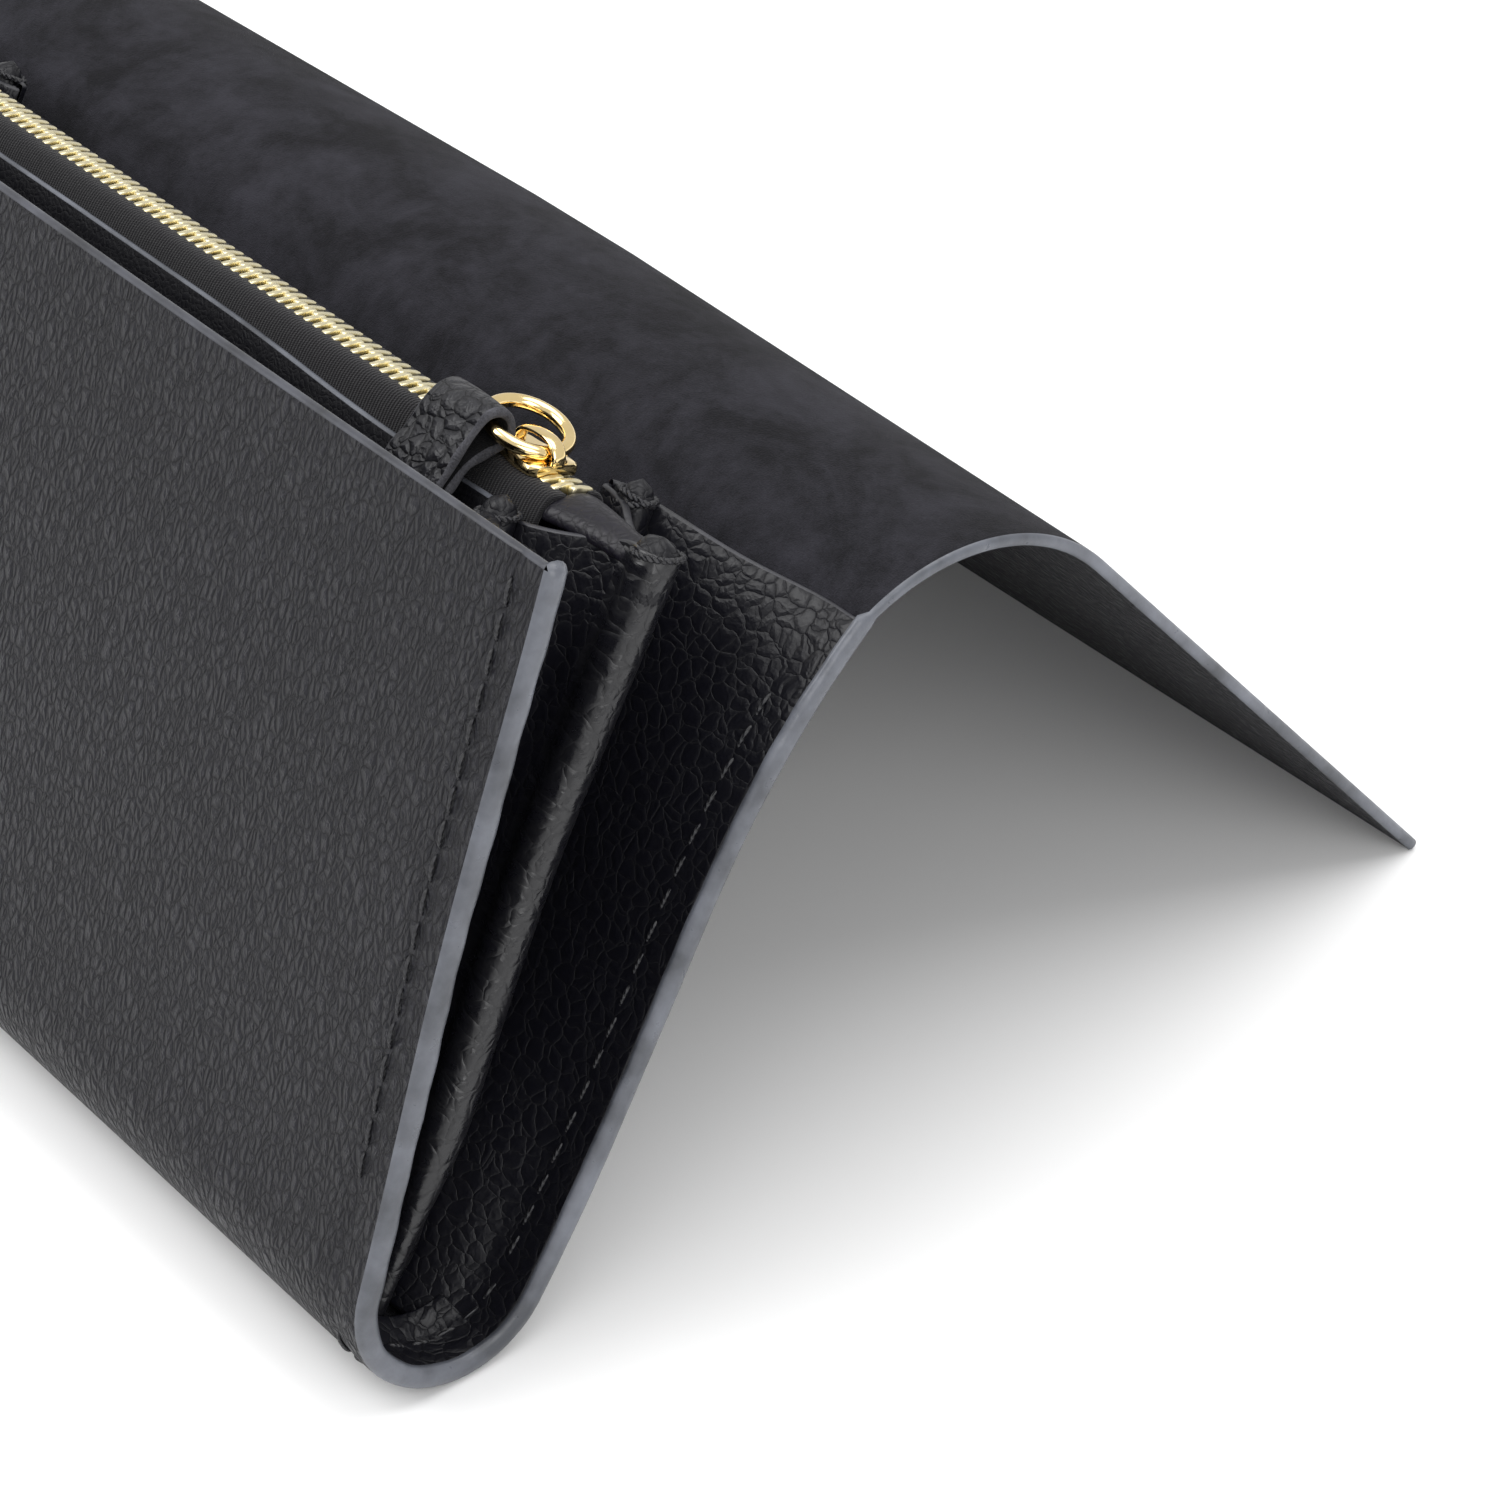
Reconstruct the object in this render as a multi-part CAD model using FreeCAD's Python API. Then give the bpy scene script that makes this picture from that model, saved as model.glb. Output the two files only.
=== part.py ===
import FreeCAD, Part
import math
import os

# Flap-over wallet standing open like a tent, on its rounded bottom and on the free edge of its flap.
# +X along the length, +Y back towards the flap's free edge, +Z up. The origin is the middle of the
# bounding box's bottom face. All lengths are in millimetres and all angles in degrees.

os.makedirs("parts", exist_ok=True)

# ---- driving dimensions -------------------------------------------------------------------------

LENGTH = 200.0                 # wallet length, end to end
HALF = LENGTH / 2
LEATHER = 1.5                  # outer leather: front, bottom, back and flap
GUSSET_T = 1.0                 # gusset leather
WALL_T = 1.1                   # zip pocket leather
TAPE_T = 0.5                   # zip tape

BOTTOM_R = 13.4                # outer radius of the rounded bottom
FRONT_LEAN = 67.0              # slope of the front panel from the ground
BACK_LEAN = 52.0               # slope of the back panel
POCKET_LEAN = 57.0             # slope of the zip pocket's middle plane
FRONT_HEIGHT = 86.5            # front panel, from the bottom's bend to the top edge
BACK_HEIGHT = 86.0             # back panel, from the bottom's bend to the flap's first fold

FLAP_START = 24.0              # direction in which the flap leaves the back panel
FLAP_END = -52.5               # direction of the flap's straight part
FLAP_R = 27.0                  # middle radius of the flap's arch
ROOT_LENGTH = 24.0             # first flap strip, along the arch
BRIDGE_LENGTH = 36.0           # second flap strip

FOLD_GAP = 0.35                # clearance round each rounded fold end
END_GAP = LEATHER / 2 + FOLD_GAP

FLANGE = 6.0                   # width of the gusset's sewn flange
FOLD_X = 67.0                  # inner folds of the gusset, from the middle
PLEAT_X = 85.5                 # outward fold of the centre pleat
PLEAT_R = 1.7                  # radius of the rolled centre fold
FRONT_FOLD_N = -7.5            # inner folds, across the pocket
REAR_FOLD_N = 8.5
FOLD_TOP = 79.0                # height of the inner folds
PLEAT_TOP = 82.0
GUSSET_BASE = 4.0
PLEAT_BASE_N = 6.2             # inner folds at the bottom of the pocket

POCKET_END = 66.0              # half length of the pocket walls
WALL_OUT = 5.7                 # outer face of each wall from the middle plane
WALL_IN = WALL_OUT - WALL_T
WALL_TOP = 79.2
WALL_BASE = -2.0

CHAIN_R = 83.0                 # height of the zip chain in the pocket
CHAIN_TILT = 13.0              # the chain tips forwards from the pocket's middle plane
CHAIN_END = 70.4               # half length of the tapes
TOOTH_PITCH = 2.0
TOOTH_T = 0.85                 # along the chain
TOOTH_H = 1.5
TOOTH_OUT = 2.3                # outer end of a tooth from the chain's middle
TOOTH_IN = 0.55                # how far a tooth reaches past the middle
TEETH = 70                     # on each tape
TAPE_FOOT = 70.0
TAPE_N = 4.3

SLIDER_LEFT = 56.0
SLIDER_RIGHT = 66.5
SLIDER_HALF_W = 3.4
SLIDER_NARROW = 2.9
SLIDER_UNDER = 0.9             # underside of the upper wing, from the chain's middle
SLIDER_TOP = 1.6
SLIDER_LIP = 0.35
SLIDER_LIP_T = 0.6
LOWER_HALF_W = 2.0

BAIL_HALF_W = 0.9
BAIL_UNDER = 3.6
BAIL_TOP = 4.3
BAIL_LEFT = (58.2, 59.2)
BAIL_RIGHT = (65.5, 66.3)

RING_MAJOR = 5.0
RING_WIRE = 0.7
RING_X = 64.4                  # where the ring's wire passes under the bail
RING_M = 2.5
RING_TILT = 15.0

PULL_LEFT = 50.4
PULL_RIGHT = 60.0
PULL_NECK = 57.6               # the strip closes round the ring from here to its right side
PULL_T = 2.2                   # two layers of leather
PULL_BORE = 1.5                # radius of the loop's hole round the ring

STITCH_PITCH = 4.0
STITCH_LENGTH = 3.0
STITCH_W = 0.6
STITCH_H = 0.25
STITCH_INSET = 5.0             # from the leather's edge

# ---- geometry shared by the pieces --------------------------------------------------------------


def unit(angle):
    """Unit vector (y, z) at an angle from +Y towards +Z."""
    a = math.radians(angle)
    return math.cos(a), math.sin(a)


def along(point, angle, distance):
    """The point moved in a direction in the YZ plane."""
    c, s = unit(angle)
    return point[0] + distance * c, point[1] + distance * s


BOTTOM = (0.0, BOTTOM_R)                       # centre of the rounded bottom
MID_R = BOTTOM_R - LEATHER / 2
FRONT_FOLD = along(BOTTOM, FRONT_LEAN + 90, MID_R)
BACK_START = along(BOTTOM, BACK_LEAN - 90, MID_R)
FLAP_FOLD = along(BACK_START, BACK_LEAN, BACK_HEIGHT)
ARCH_CENTRE = along(FLAP_FOLD, FLAP_START - 90, FLAP_R)
BEND_LENGTH = FLAP_R * math.radians(FLAP_START - FLAP_END)


def arch(distance):
    """Point and direction on the flap's middle line, at a distance from its first fold."""
    turned = math.degrees(min(distance, BEND_LENGTH) / FLAP_R)
    direction = FLAP_START - turned
    point = along(ARCH_CENTRE, direction + 90, FLAP_R)
    if distance > BEND_LENGTH:
        point = along(point, direction, distance - BEND_LENGTH)
    return point, direction


BRIDGE_FOLD, BRIDGE_DIRECTION = arch(ROOT_LENGTH)
PANEL_FOLD, PANEL_DIRECTION = arch(ROOT_LENGTH + BRIDGE_LENGTH)
TIP_LIFT = LEATHER / 2 * math.cos(math.radians(FLAP_END))
PANEL_LENGTH = (PANEL_FOLD[1] - TIP_LIFT) / math.sin(math.radians(-FLAP_END))
TIP = along(PANEL_FOLD, FLAP_END, PANEL_LENGTH)
Y_MAX = along(TIP, FLAP_END + 90, LEATHER / 2)[0]
SHIFT = FreeCAD.Vector(0, -(Y_MAX - BOTTOM_R) / 2, 0)

N_AXIS = unit(POCKET_LEAN - 90)                # across the pocket, towards the back
R_AXIS = unit(POCKET_LEAN)                     # up the pocket


def world(x, n, r):
    """A point from the pocket's own coordinates: length, across, up."""
    y = BOTTOM[0] + n * N_AXIS[0] + r * R_AXIS[0]
    z = BOTTOM[1] + n * N_AXIS[1] + r * R_AXIS[1]
    return FreeCAD.Vector(x, y, z)


TILT_C, TILT_S = unit(CHAIN_TILT)


def chain(x, a, m):
    """A point from the chain's coordinates: length, across the teeth, out of the pocket."""
    return world(x, a * TILT_C - m * TILT_S, CHAIN_R + a * TILT_S + m * TILT_C)


def front_inner(r):
    """Inner face of the front panel, across the pocket at a height."""
    angle = math.radians(FRONT_LEAN - POCKET_LEAN)
    return -((BOTTOM_R - LEATHER) / math.cos(angle) + r * math.tan(angle))


def back_inner(r):
    """Inner face of the back panel, across the pocket at a height."""
    angle = math.radians(POCKET_LEAN - BACK_LEAN)
    return (BOTTOM_R - LEATHER) / math.cos(angle) + r * math.tan(angle)


# ---- shape helpers ------------------------------------------------------------------------------


def polygon(points):
    return Part.makePolygon(list(points) + [points[0]])


def prism(points, vector):
    """Solid from a flat outline and a direction."""
    return Part.Face(polygon(points)).extrude(vector)


def box_between(place, x, a, m):
    """Box between two limits on each axis of a local frame."""
    corners = [place(x[0], a[0], m[0]), place(x[0], a[1], m[0]),
               place(x[0], a[1], m[1]), place(x[0], a[0], m[1])]
    return prism(corners, FreeCAD.Vector(x[1] - x[0], 0, 0))


def yz(point, x=-HALF):
    return FreeCAD.Vector(x, point[0], point[1])


def outline(pieces):
    """Closed face from straight pieces (start, end) and arcs (start, middle, end), at the left end."""
    edges = []
    for piece in pieces:
        points = [yz(p) for p in piece]
        if len(points) == 2:
            edges.append(Part.LineSegment(*points).toShape())
        else:
            edges.append(Part.Arc(*points).toShape())
    return Part.Face(Part.Wire(edges))


def full_length(pieces):
    return outline(pieces).extrude(FreeCAD.Vector(LENGTH, 0, 0))


def round_end_panel(start, direction, length):
    """Flat panel whose first end is rounded about its fold line."""
    half = LEATHER / 2
    left = along(start, direction + 90, half)
    right = along(start, direction - 90, half)
    back = along(start, direction + 180, half)
    far_left = along(left, direction, length)
    far_right = along(right, direction, length)
    return full_length([(left, far_left), (far_left, far_right), (far_right, right),
                        (right, back, left)])


def skin(path_low, path_high, low, high, thickness, side):
    """Bent sheet between two levels of the pocket: each path is a line of (x, n) points, and the
    thickness goes to one side of it."""
    wires = []
    for path, level in ((path_low, low), (path_high, high)):
        other = offset_path(path, thickness * side)
        ring = list(path) + other[::-1]
        wires.append(polygon([world(x, n, level) for x, n in ring]))
    return Part.makeLoft(wires, True, True)


def offset_path(path, distance):
    """The path moved sideways, mitred at its corners."""
    normals = []
    for (x0, n0), (x1, n1) in zip(path, path[1:]):
        size = math.hypot(x1 - x0, n1 - n0)
        normals.append((-(n1 - n0) / size, (x1 - x0) / size))
    moved = []
    for i, (x, n) in enumerate(path):
        before = normals[max(i - 1, 0)]
        after = normals[min(i, len(normals) - 1)]
        mx, mn = before[0] + after[0], before[1] + after[1]
        scale = 2 / (mx * mx + mn * mn)
        moved.append((x + mx * scale * distance, n + mn * scale * distance))
    return moved


def mirrored(shape):
    return shape.mirror(FreeCAD.Vector(0, 0, 0), FreeCAD.Vector(1, 0, 0))


def fused(shapes):
    whole = shapes[0].fuse(shapes[1:])
    return whole.removeSplitter()


def save(name, shape):
    moved = shape.copy()
    moved.translate(SHIFT)
    assert moved.isValid(), name
    assert moved.Volume > 0, name
    moved.exportStep("parts/" + name + ".step")


# ---- outer leather ------------------------------------------------------------------------------

save("front_panel", round_end_panel(FRONT_FOLD, FRONT_LEAN, FRONT_HEIGHT))

inner_r = BOTTOM_R - LEATHER
fold_turn = math.degrees(END_GAP / MID_R)
arc_start = FRONT_LEAN + 90 + fold_turn
arc_end = BACK_LEAN - 90 + 360
bottom_middle = (arc_start + arc_end) / 2


def bottom_arc(first, last):
    """Part of the rounded bottom between two angles round its centre."""
    middle = (first + last) / 2
    return full_length([
        (along(BOTTOM, first, BOTTOM_R), along(BOTTOM, middle, BOTTOM_R), along(BOTTOM, last, BOTTOM_R)),
        (along(BOTTOM, last, BOTTOM_R), along(BOTTOM, last, inner_r)),
        (along(BOTTOM, last, inner_r), along(BOTTOM, middle, inner_r), along(BOTTOM, first, inner_r)),
        (along(BOTTOM, first, inner_r), along(BOTTOM, first, BOTTOM_R)),
    ])


save("bottom_fold_front_half", bottom_arc(arc_start, bottom_middle))
save("bottom_fold_rear_half", bottom_arc(bottom_middle, arc_end))

back_out = along(BACK_START, BACK_LEAN - 90, LEATHER / 2)
back_in = along(BACK_START, BACK_LEAN + 90, LEATHER / 2)
back_rise = BACK_HEIGHT - END_GAP
save("back_panel", full_length([
    (back_out, along(back_out, BACK_LEAN, back_rise)),
    (along(back_out, BACK_LEAN, back_rise), along(back_in, BACK_LEAN, back_rise)),
    (along(back_in, BACK_LEAN, back_rise), back_in),
    (back_in, back_out),
]))


def arch_strip(start, stop):
    """Curved strip of the flap with its first end rounded about its fold line."""
    outer, inner = FLAP_R + LEATHER / 2, FLAP_R - LEATHER / 2

    def on(distance, radius):
        turned = math.degrees(distance / FLAP_R)
        return along(ARCH_CENTRE, FLAP_START - turned + 90, radius)

    middle = (start + stop) / 2
    fold, direction = arch(start)
    back = along(fold, direction + 180, LEATHER / 2)
    return full_length([
        (on(start, outer), on(middle, outer), on(stop, outer)),
        (on(stop, outer), on(stop, inner)),
        (on(stop, inner), on(middle, inner), on(start, inner)),
        (on(start, inner), back, on(start, outer)),
    ])


save("flap_root_strip", arch_strip(0.0, ROOT_LENGTH - END_GAP))

bridge_straight = ROOT_LENGTH + BRIDGE_LENGTH - BEND_LENGTH - END_GAP
bend_end, _ = arch(BEND_LENGTH)
flat_left = along(bend_end, FLAP_END + 90, LEATHER / 2)
flat_right = along(bend_end, FLAP_END - 90, LEATHER / 2)
flat_part = full_length([
    (flat_left, along(flat_left, FLAP_END, bridge_straight)),
    (along(flat_left, FLAP_END, bridge_straight), along(flat_right, FLAP_END, bridge_straight)),
    (along(flat_right, FLAP_END, bridge_straight), flat_right),
    (flat_right, flat_left),
])
save("flap_bridge_strip", fused([arch_strip(ROOT_LENGTH, BEND_LENGTH), flat_part]))
save("flap_panel", round_end_panel(PANEL_FOLD, FLAP_END, PANEL_LENGTH))

# ---- gussets ------------------------------------------------------------------------------------

FLANGE_X = HALF - FLANGE
WING_CLEAR = 0.4               # between a wing and the pleat it folds into
FLANGE_CLEAR = 0.05            # between a flange and the panel it is sewn to
FRONT_WING_TOP = 80.0
REAR_WING_TOP = 82.0
WING_X = FOLD_X - WING_CLEAR
WING_OFFSET = 2 * GUSSET_T + WING_CLEAR    # from a pleat's fold to its wing's fold


def wing_path(fold_n, panel_n, side):
    """Line of a wing: inner fold, bend at the stitching, edge of the flange."""
    face = panel_n + side * FLANGE_CLEAR
    return [(WING_X, fold_n), (FLANGE_X, face), (HALF, face)]


front_wing = skin(
    wing_path(-PLEAT_BASE_N - WING_OFFSET, front_inner(GUSSET_BASE), 1),
    wing_path(FRONT_FOLD_N - WING_OFFSET, front_inner(FRONT_WING_TOP), 1),
    GUSSET_BASE, FRONT_WING_TOP, GUSSET_T, 1)
rear_wing = skin(
    wing_path(PLEAT_BASE_N + WING_OFFSET, back_inner(GUSSET_BASE), -1),
    wing_path(REAR_FOLD_N + WING_OFFSET, back_inner(REAR_WING_TOP), -1),
    GUSSET_BASE, REAR_WING_TOP, GUSSET_T, -1)

flange_out = inner_r - FLANGE_CLEAR
flange_in = flange_out - GUSSET_T
FLANGE_STOP = 10.0             # degrees kept clear of each wing's foot
f0, f1 = arc_start + FLANGE_STOP, arc_end - FLANGE_STOP
fm = (f0 + f1) / 2
bottom_flange = outline([
    (along(BOTTOM, f0, flange_out), along(BOTTOM, fm, flange_out), along(BOTTOM, f1, flange_out)),
    (along(BOTTOM, f1, flange_out), along(BOTTOM, f1, flange_in)),
    (along(BOTTOM, f1, flange_in), along(BOTTOM, fm, flange_in), along(BOTTOM, f0, flange_in)),
    (along(BOTTOM, f0, flange_in), along(BOTTOM, f0, flange_out)),
]).extrude(FreeCAD.Vector(FLANGE, 0, 0))
bottom_flange.translate(FreeCAD.Vector(LENGTH - FLANGE, 0, 0))

PLEAT_N = 1.0                  # half distance between the pleat's halves at its outward fold
pleat_front = skin([(FOLD_X, -PLEAT_BASE_N), (PLEAT_X, -PLEAT_N)],
                   [(FOLD_X, FRONT_FOLD_N), (PLEAT_X, -PLEAT_N)],
                   GUSSET_BASE, FOLD_TOP, GUSSET_T, -1)
pleat_rear = skin([(FOLD_X, PLEAT_BASE_N), (PLEAT_X, PLEAT_N)],
                  [(FOLD_X, REAR_FOLD_N), (PLEAT_X, PLEAT_N)],
                  GUSSET_BASE, FOLD_TOP, GUSSET_T, 1)
roll = Part.makeCylinder(PLEAT_R, PLEAT_TOP - GUSSET_BASE, world(PLEAT_X + PLEAT_N, 0, GUSSET_BASE),
                         FreeCAD.Vector(0, R_AXIS[0], R_AXIS[1]))
centre_pleat = fused([pleat_front, pleat_rear, roll])

for side, place in (("right", lambda s: s), ("left", mirrored)):
    save("gusset_" + side + "_front_wing", place(front_wing))
    save("gusset_" + side + "_rear_wing", place(rear_wing))
    save("gusset_" + side + "_bottom_flange", place(bottom_flange))
    save("gusset_" + side + "_centre_pleat", place(centre_pleat))

# ---- zip pocket ---------------------------------------------------------------------------------

POCKET_X = (-POCKET_END, POCKET_END)
save("pocket_front_wall", box_between(world, POCKET_X, (-WALL_OUT, -WALL_IN), (WALL_BASE, WALL_TOP)))
save("pocket_rear_wall", box_between(world, POCKET_X, (WALL_IN, WALL_OUT), (WALL_BASE, WALL_TOP)))


def across(n, r):
    return world(-POCKET_END, n, r)


def half_turn(radius, sign):
    first = across(-sign * radius, WALL_BASE)
    lowest = across(0, WALL_BASE - radius)
    last = across(sign * radius, WALL_BASE)
    return Part.Arc(first, lowest, last).toShape()


bottom_edges = [
    half_turn(WALL_OUT, 1),
    Part.LineSegment(across(WALL_OUT, WALL_BASE), across(WALL_IN, WALL_BASE)).toShape(),
    half_turn(WALL_IN, -1),
    Part.LineSegment(across(-WALL_IN, WALL_BASE), across(-WALL_OUT, WALL_BASE)).toShape(),
]
pocket_bottom = Part.Face(Part.Wire(bottom_edges)).extrude(FreeCAD.Vector(2 * POCKET_END, 0, 0))
save("pocket_bottom_fold", pocket_bottom)


def tape(points):
    """Full-length tape from a middle line of (n, r) points, given half a thickness each way."""
    one = offset_path(points, TAPE_T / 2)
    other = offset_path(points, -TAPE_T / 2)
    ring = one + other[::-1]
    return prism([world(-CHAIN_END, n, r) for n, r in ring], FreeCAD.Vector(2 * CHAIN_END, 0, 0))


TAPE_GAP = 0.05                # between the tape's edge and the teeth
SHOULDER_FRONT = 81.2          # height where the front tape turns down
SHOULDER_REAR = 82.0
tape_edge = TOOTH_OUT + TAPE_GAP + TAPE_T / 2
front_edge = (-tape_edge * TILT_C, CHAIN_R - tape_edge * TILT_S)
rear_edge = (tape_edge * TILT_C, CHAIN_R + tape_edge * TILT_S)
save("zip_tape_front", tape([front_edge, (-TAPE_N, SHOULDER_FRONT), (-TAPE_N, TAPE_FOOT)]))
save("zip_tape_rear", tape([rear_edge, (TAPE_N, SHOULDER_REAR), (TAPE_N, TAPE_FOOT)]))


def teeth(first_x, across_limits):
    """One row of teeth, as separate solids in one compound."""
    row = []
    for i in range(TEETH):
        x = first_x + i * TOOTH_PITCH
        row.append(box_between(chain, (x, x + TOOTH_T), across_limits, (-TOOTH_H / 2, TOOTH_H / 2)))
    return Part.makeCompound(row)


first_tooth = -TEETH * TOOTH_PITCH / 2
tooth_phase = (TOOTH_PITCH / 2 - TOOTH_T) / 2
save("zip_teeth_front", teeth(first_tooth + tooth_phase, (-TOOTH_OUT, TOOTH_IN)))
save("zip_teeth_rear", teeth(first_tooth + TOOTH_PITCH / 2 + tooth_phase, (-TOOTH_IN, TOOTH_OUT)))

TAB_START = CHAIN_END + 0.1
TAB_STOP = 83.0
TAB_HALF_W = 3.4
TAB_TIP_HALF_W = 0.8
TAB_UNDER = 80.6
TAB_TOP = 82.4
tab_outline = [world(TAB_START, -TAB_HALF_W, TAB_UNDER), world(TAB_START, TAB_HALF_W, TAB_UNDER),
               world(TAB_STOP, TAB_TIP_HALF_W, TAB_UNDER), world(TAB_STOP, -TAB_TIP_HALF_W, TAB_UNDER)]
tab_rise = TAB_TOP - TAB_UNDER
end_tab = prism(tab_outline, FreeCAD.Vector(0, tab_rise * R_AXIS[0], tab_rise * R_AXIS[1]))
save("zip_end_tab_right", end_tab)
save("zip_end_tab_left", mirrored(end_tab))

# ---- slider, ring and leather pull --------------------------------------------------------------

WIDE_SHARE = 0.45              # the slider is wide over this share of its length
shoulder = SLIDER_RIGHT - WIDE_SHARE * (SLIDER_RIGHT - SLIDER_LEFT)
wing_outline = [(SLIDER_LEFT, -SLIDER_NARROW), (shoulder, -SLIDER_HALF_W), (SLIDER_RIGHT, -SLIDER_HALF_W),
                (SLIDER_RIGHT, SLIDER_HALF_W), (shoulder, SLIDER_HALF_W), (SLIDER_LEFT, SLIDER_NARROW)]


def chain_prism(points, low, high):
    rise = chain(0, 0, high) - chain(0, 0, low)
    return prism([chain(x, a, low) for x, a in points], rise)


plate = chain_prism(wing_outline, SLIDER_UNDER, SLIDER_TOP)
lips = []
for sign in (-1, 1):
    line = [(SLIDER_LEFT, sign * SLIDER_NARROW), (shoulder, sign * SLIDER_HALF_W),
            (SLIDER_RIGHT, sign * SLIDER_HALF_W)]
    inner = [(x, a - sign * SLIDER_LIP_T) for x, a in line]
    lips.append(chain_prism(line + inner[::-1], SLIDER_LIP, SLIDER_UNDER))
save("zip_slider_upper_wing", fused([plate] + lips))

lower_outline = [(SLIDER_LEFT, -LOWER_HALF_W), (SLIDER_RIGHT, -LOWER_HALF_W),
                 (SLIDER_RIGHT, LOWER_HALF_W), (SLIDER_LEFT, LOWER_HALF_W)]
save("zip_slider_lower_wing", chain_prism(lower_outline, -SLIDER_TOP, -SLIDER_UNDER))

bail_side = [(BAIL_LEFT[0], SLIDER_TOP), (BAIL_LEFT[0], BAIL_TOP), (BAIL_RIGHT[1], BAIL_TOP),
             (BAIL_RIGHT[1], SLIDER_TOP), (BAIL_RIGHT[0], SLIDER_TOP), (BAIL_RIGHT[0], BAIL_UNDER),
             (BAIL_LEFT[1], BAIL_UNDER), (BAIL_LEFT[1], SLIDER_TOP)]
bail_width = chain(0, BAIL_HALF_W, 0) - chain(0, -BAIL_HALF_W, 0)
save("zip_slider_bail", prism([chain(x, -BAIL_HALF_W, m) for x, m in bail_side], bail_width))

ring_x = RING_X - RING_MAJOR * math.cos(math.radians(RING_TILT))
ring_m = RING_M + RING_MAJOR * math.sin(math.radians(RING_TILT))
ring_centre = chain(ring_x, 0, ring_m)
ring_normal = (chain(math.sin(math.radians(RING_TILT)), 0, math.cos(math.radians(RING_TILT)))
               - chain(0, 0, 0))
save("pull_ring", Part.makeTorus(RING_MAJOR, RING_WIRE, ring_centre, ring_normal))

loop_n = -RING_MAJOR * TILT_C - ring_m * TILT_S
loop_r = CHAIN_R - RING_MAJOR * TILT_S + ring_m * TILT_C
# the strip's middle line from the ring down into the front compartment, as (across, up) steps
PULL_STEPS = [(-1.6, -3.0), (-4.8, -9.6), (-6.2, -15.6), (-6.7, -22.0)]
WEB_END = (-3.2, -6.3)         # the loop's web ends inside the strip
pull_line = [(loop_n + dn, loop_r + dr) for dn, dr in PULL_STEPS]
one = offset_path(pull_line, PULL_T / 2)
other = offset_path(pull_line, -PULL_T / 2)
pull_width = FreeCAD.Vector(PULL_RIGHT - PULL_LEFT, 0, 0)
hanging = prism([world(PULL_LEFT, n, r) for n, r in one + other[::-1]], pull_width)
neck = FreeCAD.Vector(PULL_RIGHT - PULL_NECK, 0, 0)
loop_start = world(PULL_NECK, loop_n, loop_r)
loop_wall = PULL_BORE + PULL_T / 2
x_axis = FreeCAD.Vector(1, 0, 0)
tube = Part.makeCylinder(loop_wall, neck.x, loop_start, x_axis)
web_line = [(loop_n, loop_r), pull_line[0], (loop_n + WEB_END[0], loop_r + WEB_END[1])]
web_ring = offset_path(web_line, PULL_T / 2) + offset_path(web_line, -PULL_T / 2)[::-1]
web = prism([world(PULL_NECK, n, r) for n, r in web_ring], neck)
bore = Part.makeCylinder(PULL_BORE, 3 * neck.x, world(PULL_NECK - neck.x, loop_n, loop_r), x_axis)
save("leather_pull", fused([hanging, tube, web]).cut(bore).removeSplitter())

# ---- stitching ----------------------------------------------------------------------------------


def stitch_row(start, lean, outward, first, last, x):
    """Thread lying on a panel's outer face, parallel to its end edge."""
    face = along(start, outward, LEATHER / 2)
    row = []
    count = int((last - first) / STITCH_PITCH)
    for i in range(count):
        low = first + i * STITCH_PITCH
        a = along(face, lean, low)
        b = along(face, lean, low + STITCH_LENGTH)
        top_a, top_b = along(a, outward, STITCH_H), along(b, outward, STITCH_H)
        corners = [FreeCAD.Vector(x - STITCH_W / 2, p[0], p[1]) for p in (a, b, top_b, top_a)]
        row.append(prism(corners, FreeCAD.Vector(STITCH_W, 0, 0)))
    return Part.makeCompound(row)


STITCH_FIRST = 3.0
stitch_x = HALF - STITCH_INSET
for side, sign in (("right", 1), ("left", -1)):
    save("stitches_front_" + side, stitch_row(FRONT_FOLD, FRONT_LEAN, FRONT_LEAN + 90, STITCH_FIRST,
                                              FRONT_HEIGHT - STITCH_FIRST, sign * stitch_x))
    save("stitches_back_" + side, stitch_row(BACK_START, BACK_LEAN, BACK_LEAN - 90, STITCH_FIRST,
                                             BACK_HEIGHT - STITCH_FIRST, sign * stitch_x))
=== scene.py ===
import math

import bmesh
import bpy
import numpy as np
from mathutils import Matrix, Vector


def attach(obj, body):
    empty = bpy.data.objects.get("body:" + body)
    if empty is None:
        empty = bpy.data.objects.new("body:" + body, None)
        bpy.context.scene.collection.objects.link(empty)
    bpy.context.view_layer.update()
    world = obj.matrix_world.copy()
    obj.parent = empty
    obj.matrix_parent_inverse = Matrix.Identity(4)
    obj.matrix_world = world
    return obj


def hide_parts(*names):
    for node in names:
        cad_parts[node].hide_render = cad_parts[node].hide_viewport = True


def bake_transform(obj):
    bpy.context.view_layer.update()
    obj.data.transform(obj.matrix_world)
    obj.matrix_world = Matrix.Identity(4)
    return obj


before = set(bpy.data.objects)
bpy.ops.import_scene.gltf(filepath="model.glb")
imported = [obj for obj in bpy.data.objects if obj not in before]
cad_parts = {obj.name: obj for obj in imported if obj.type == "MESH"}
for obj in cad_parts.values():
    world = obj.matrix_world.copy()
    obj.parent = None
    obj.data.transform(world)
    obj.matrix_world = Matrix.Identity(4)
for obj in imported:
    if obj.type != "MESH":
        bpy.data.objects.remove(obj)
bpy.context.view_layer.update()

MM = 0.001

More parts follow.
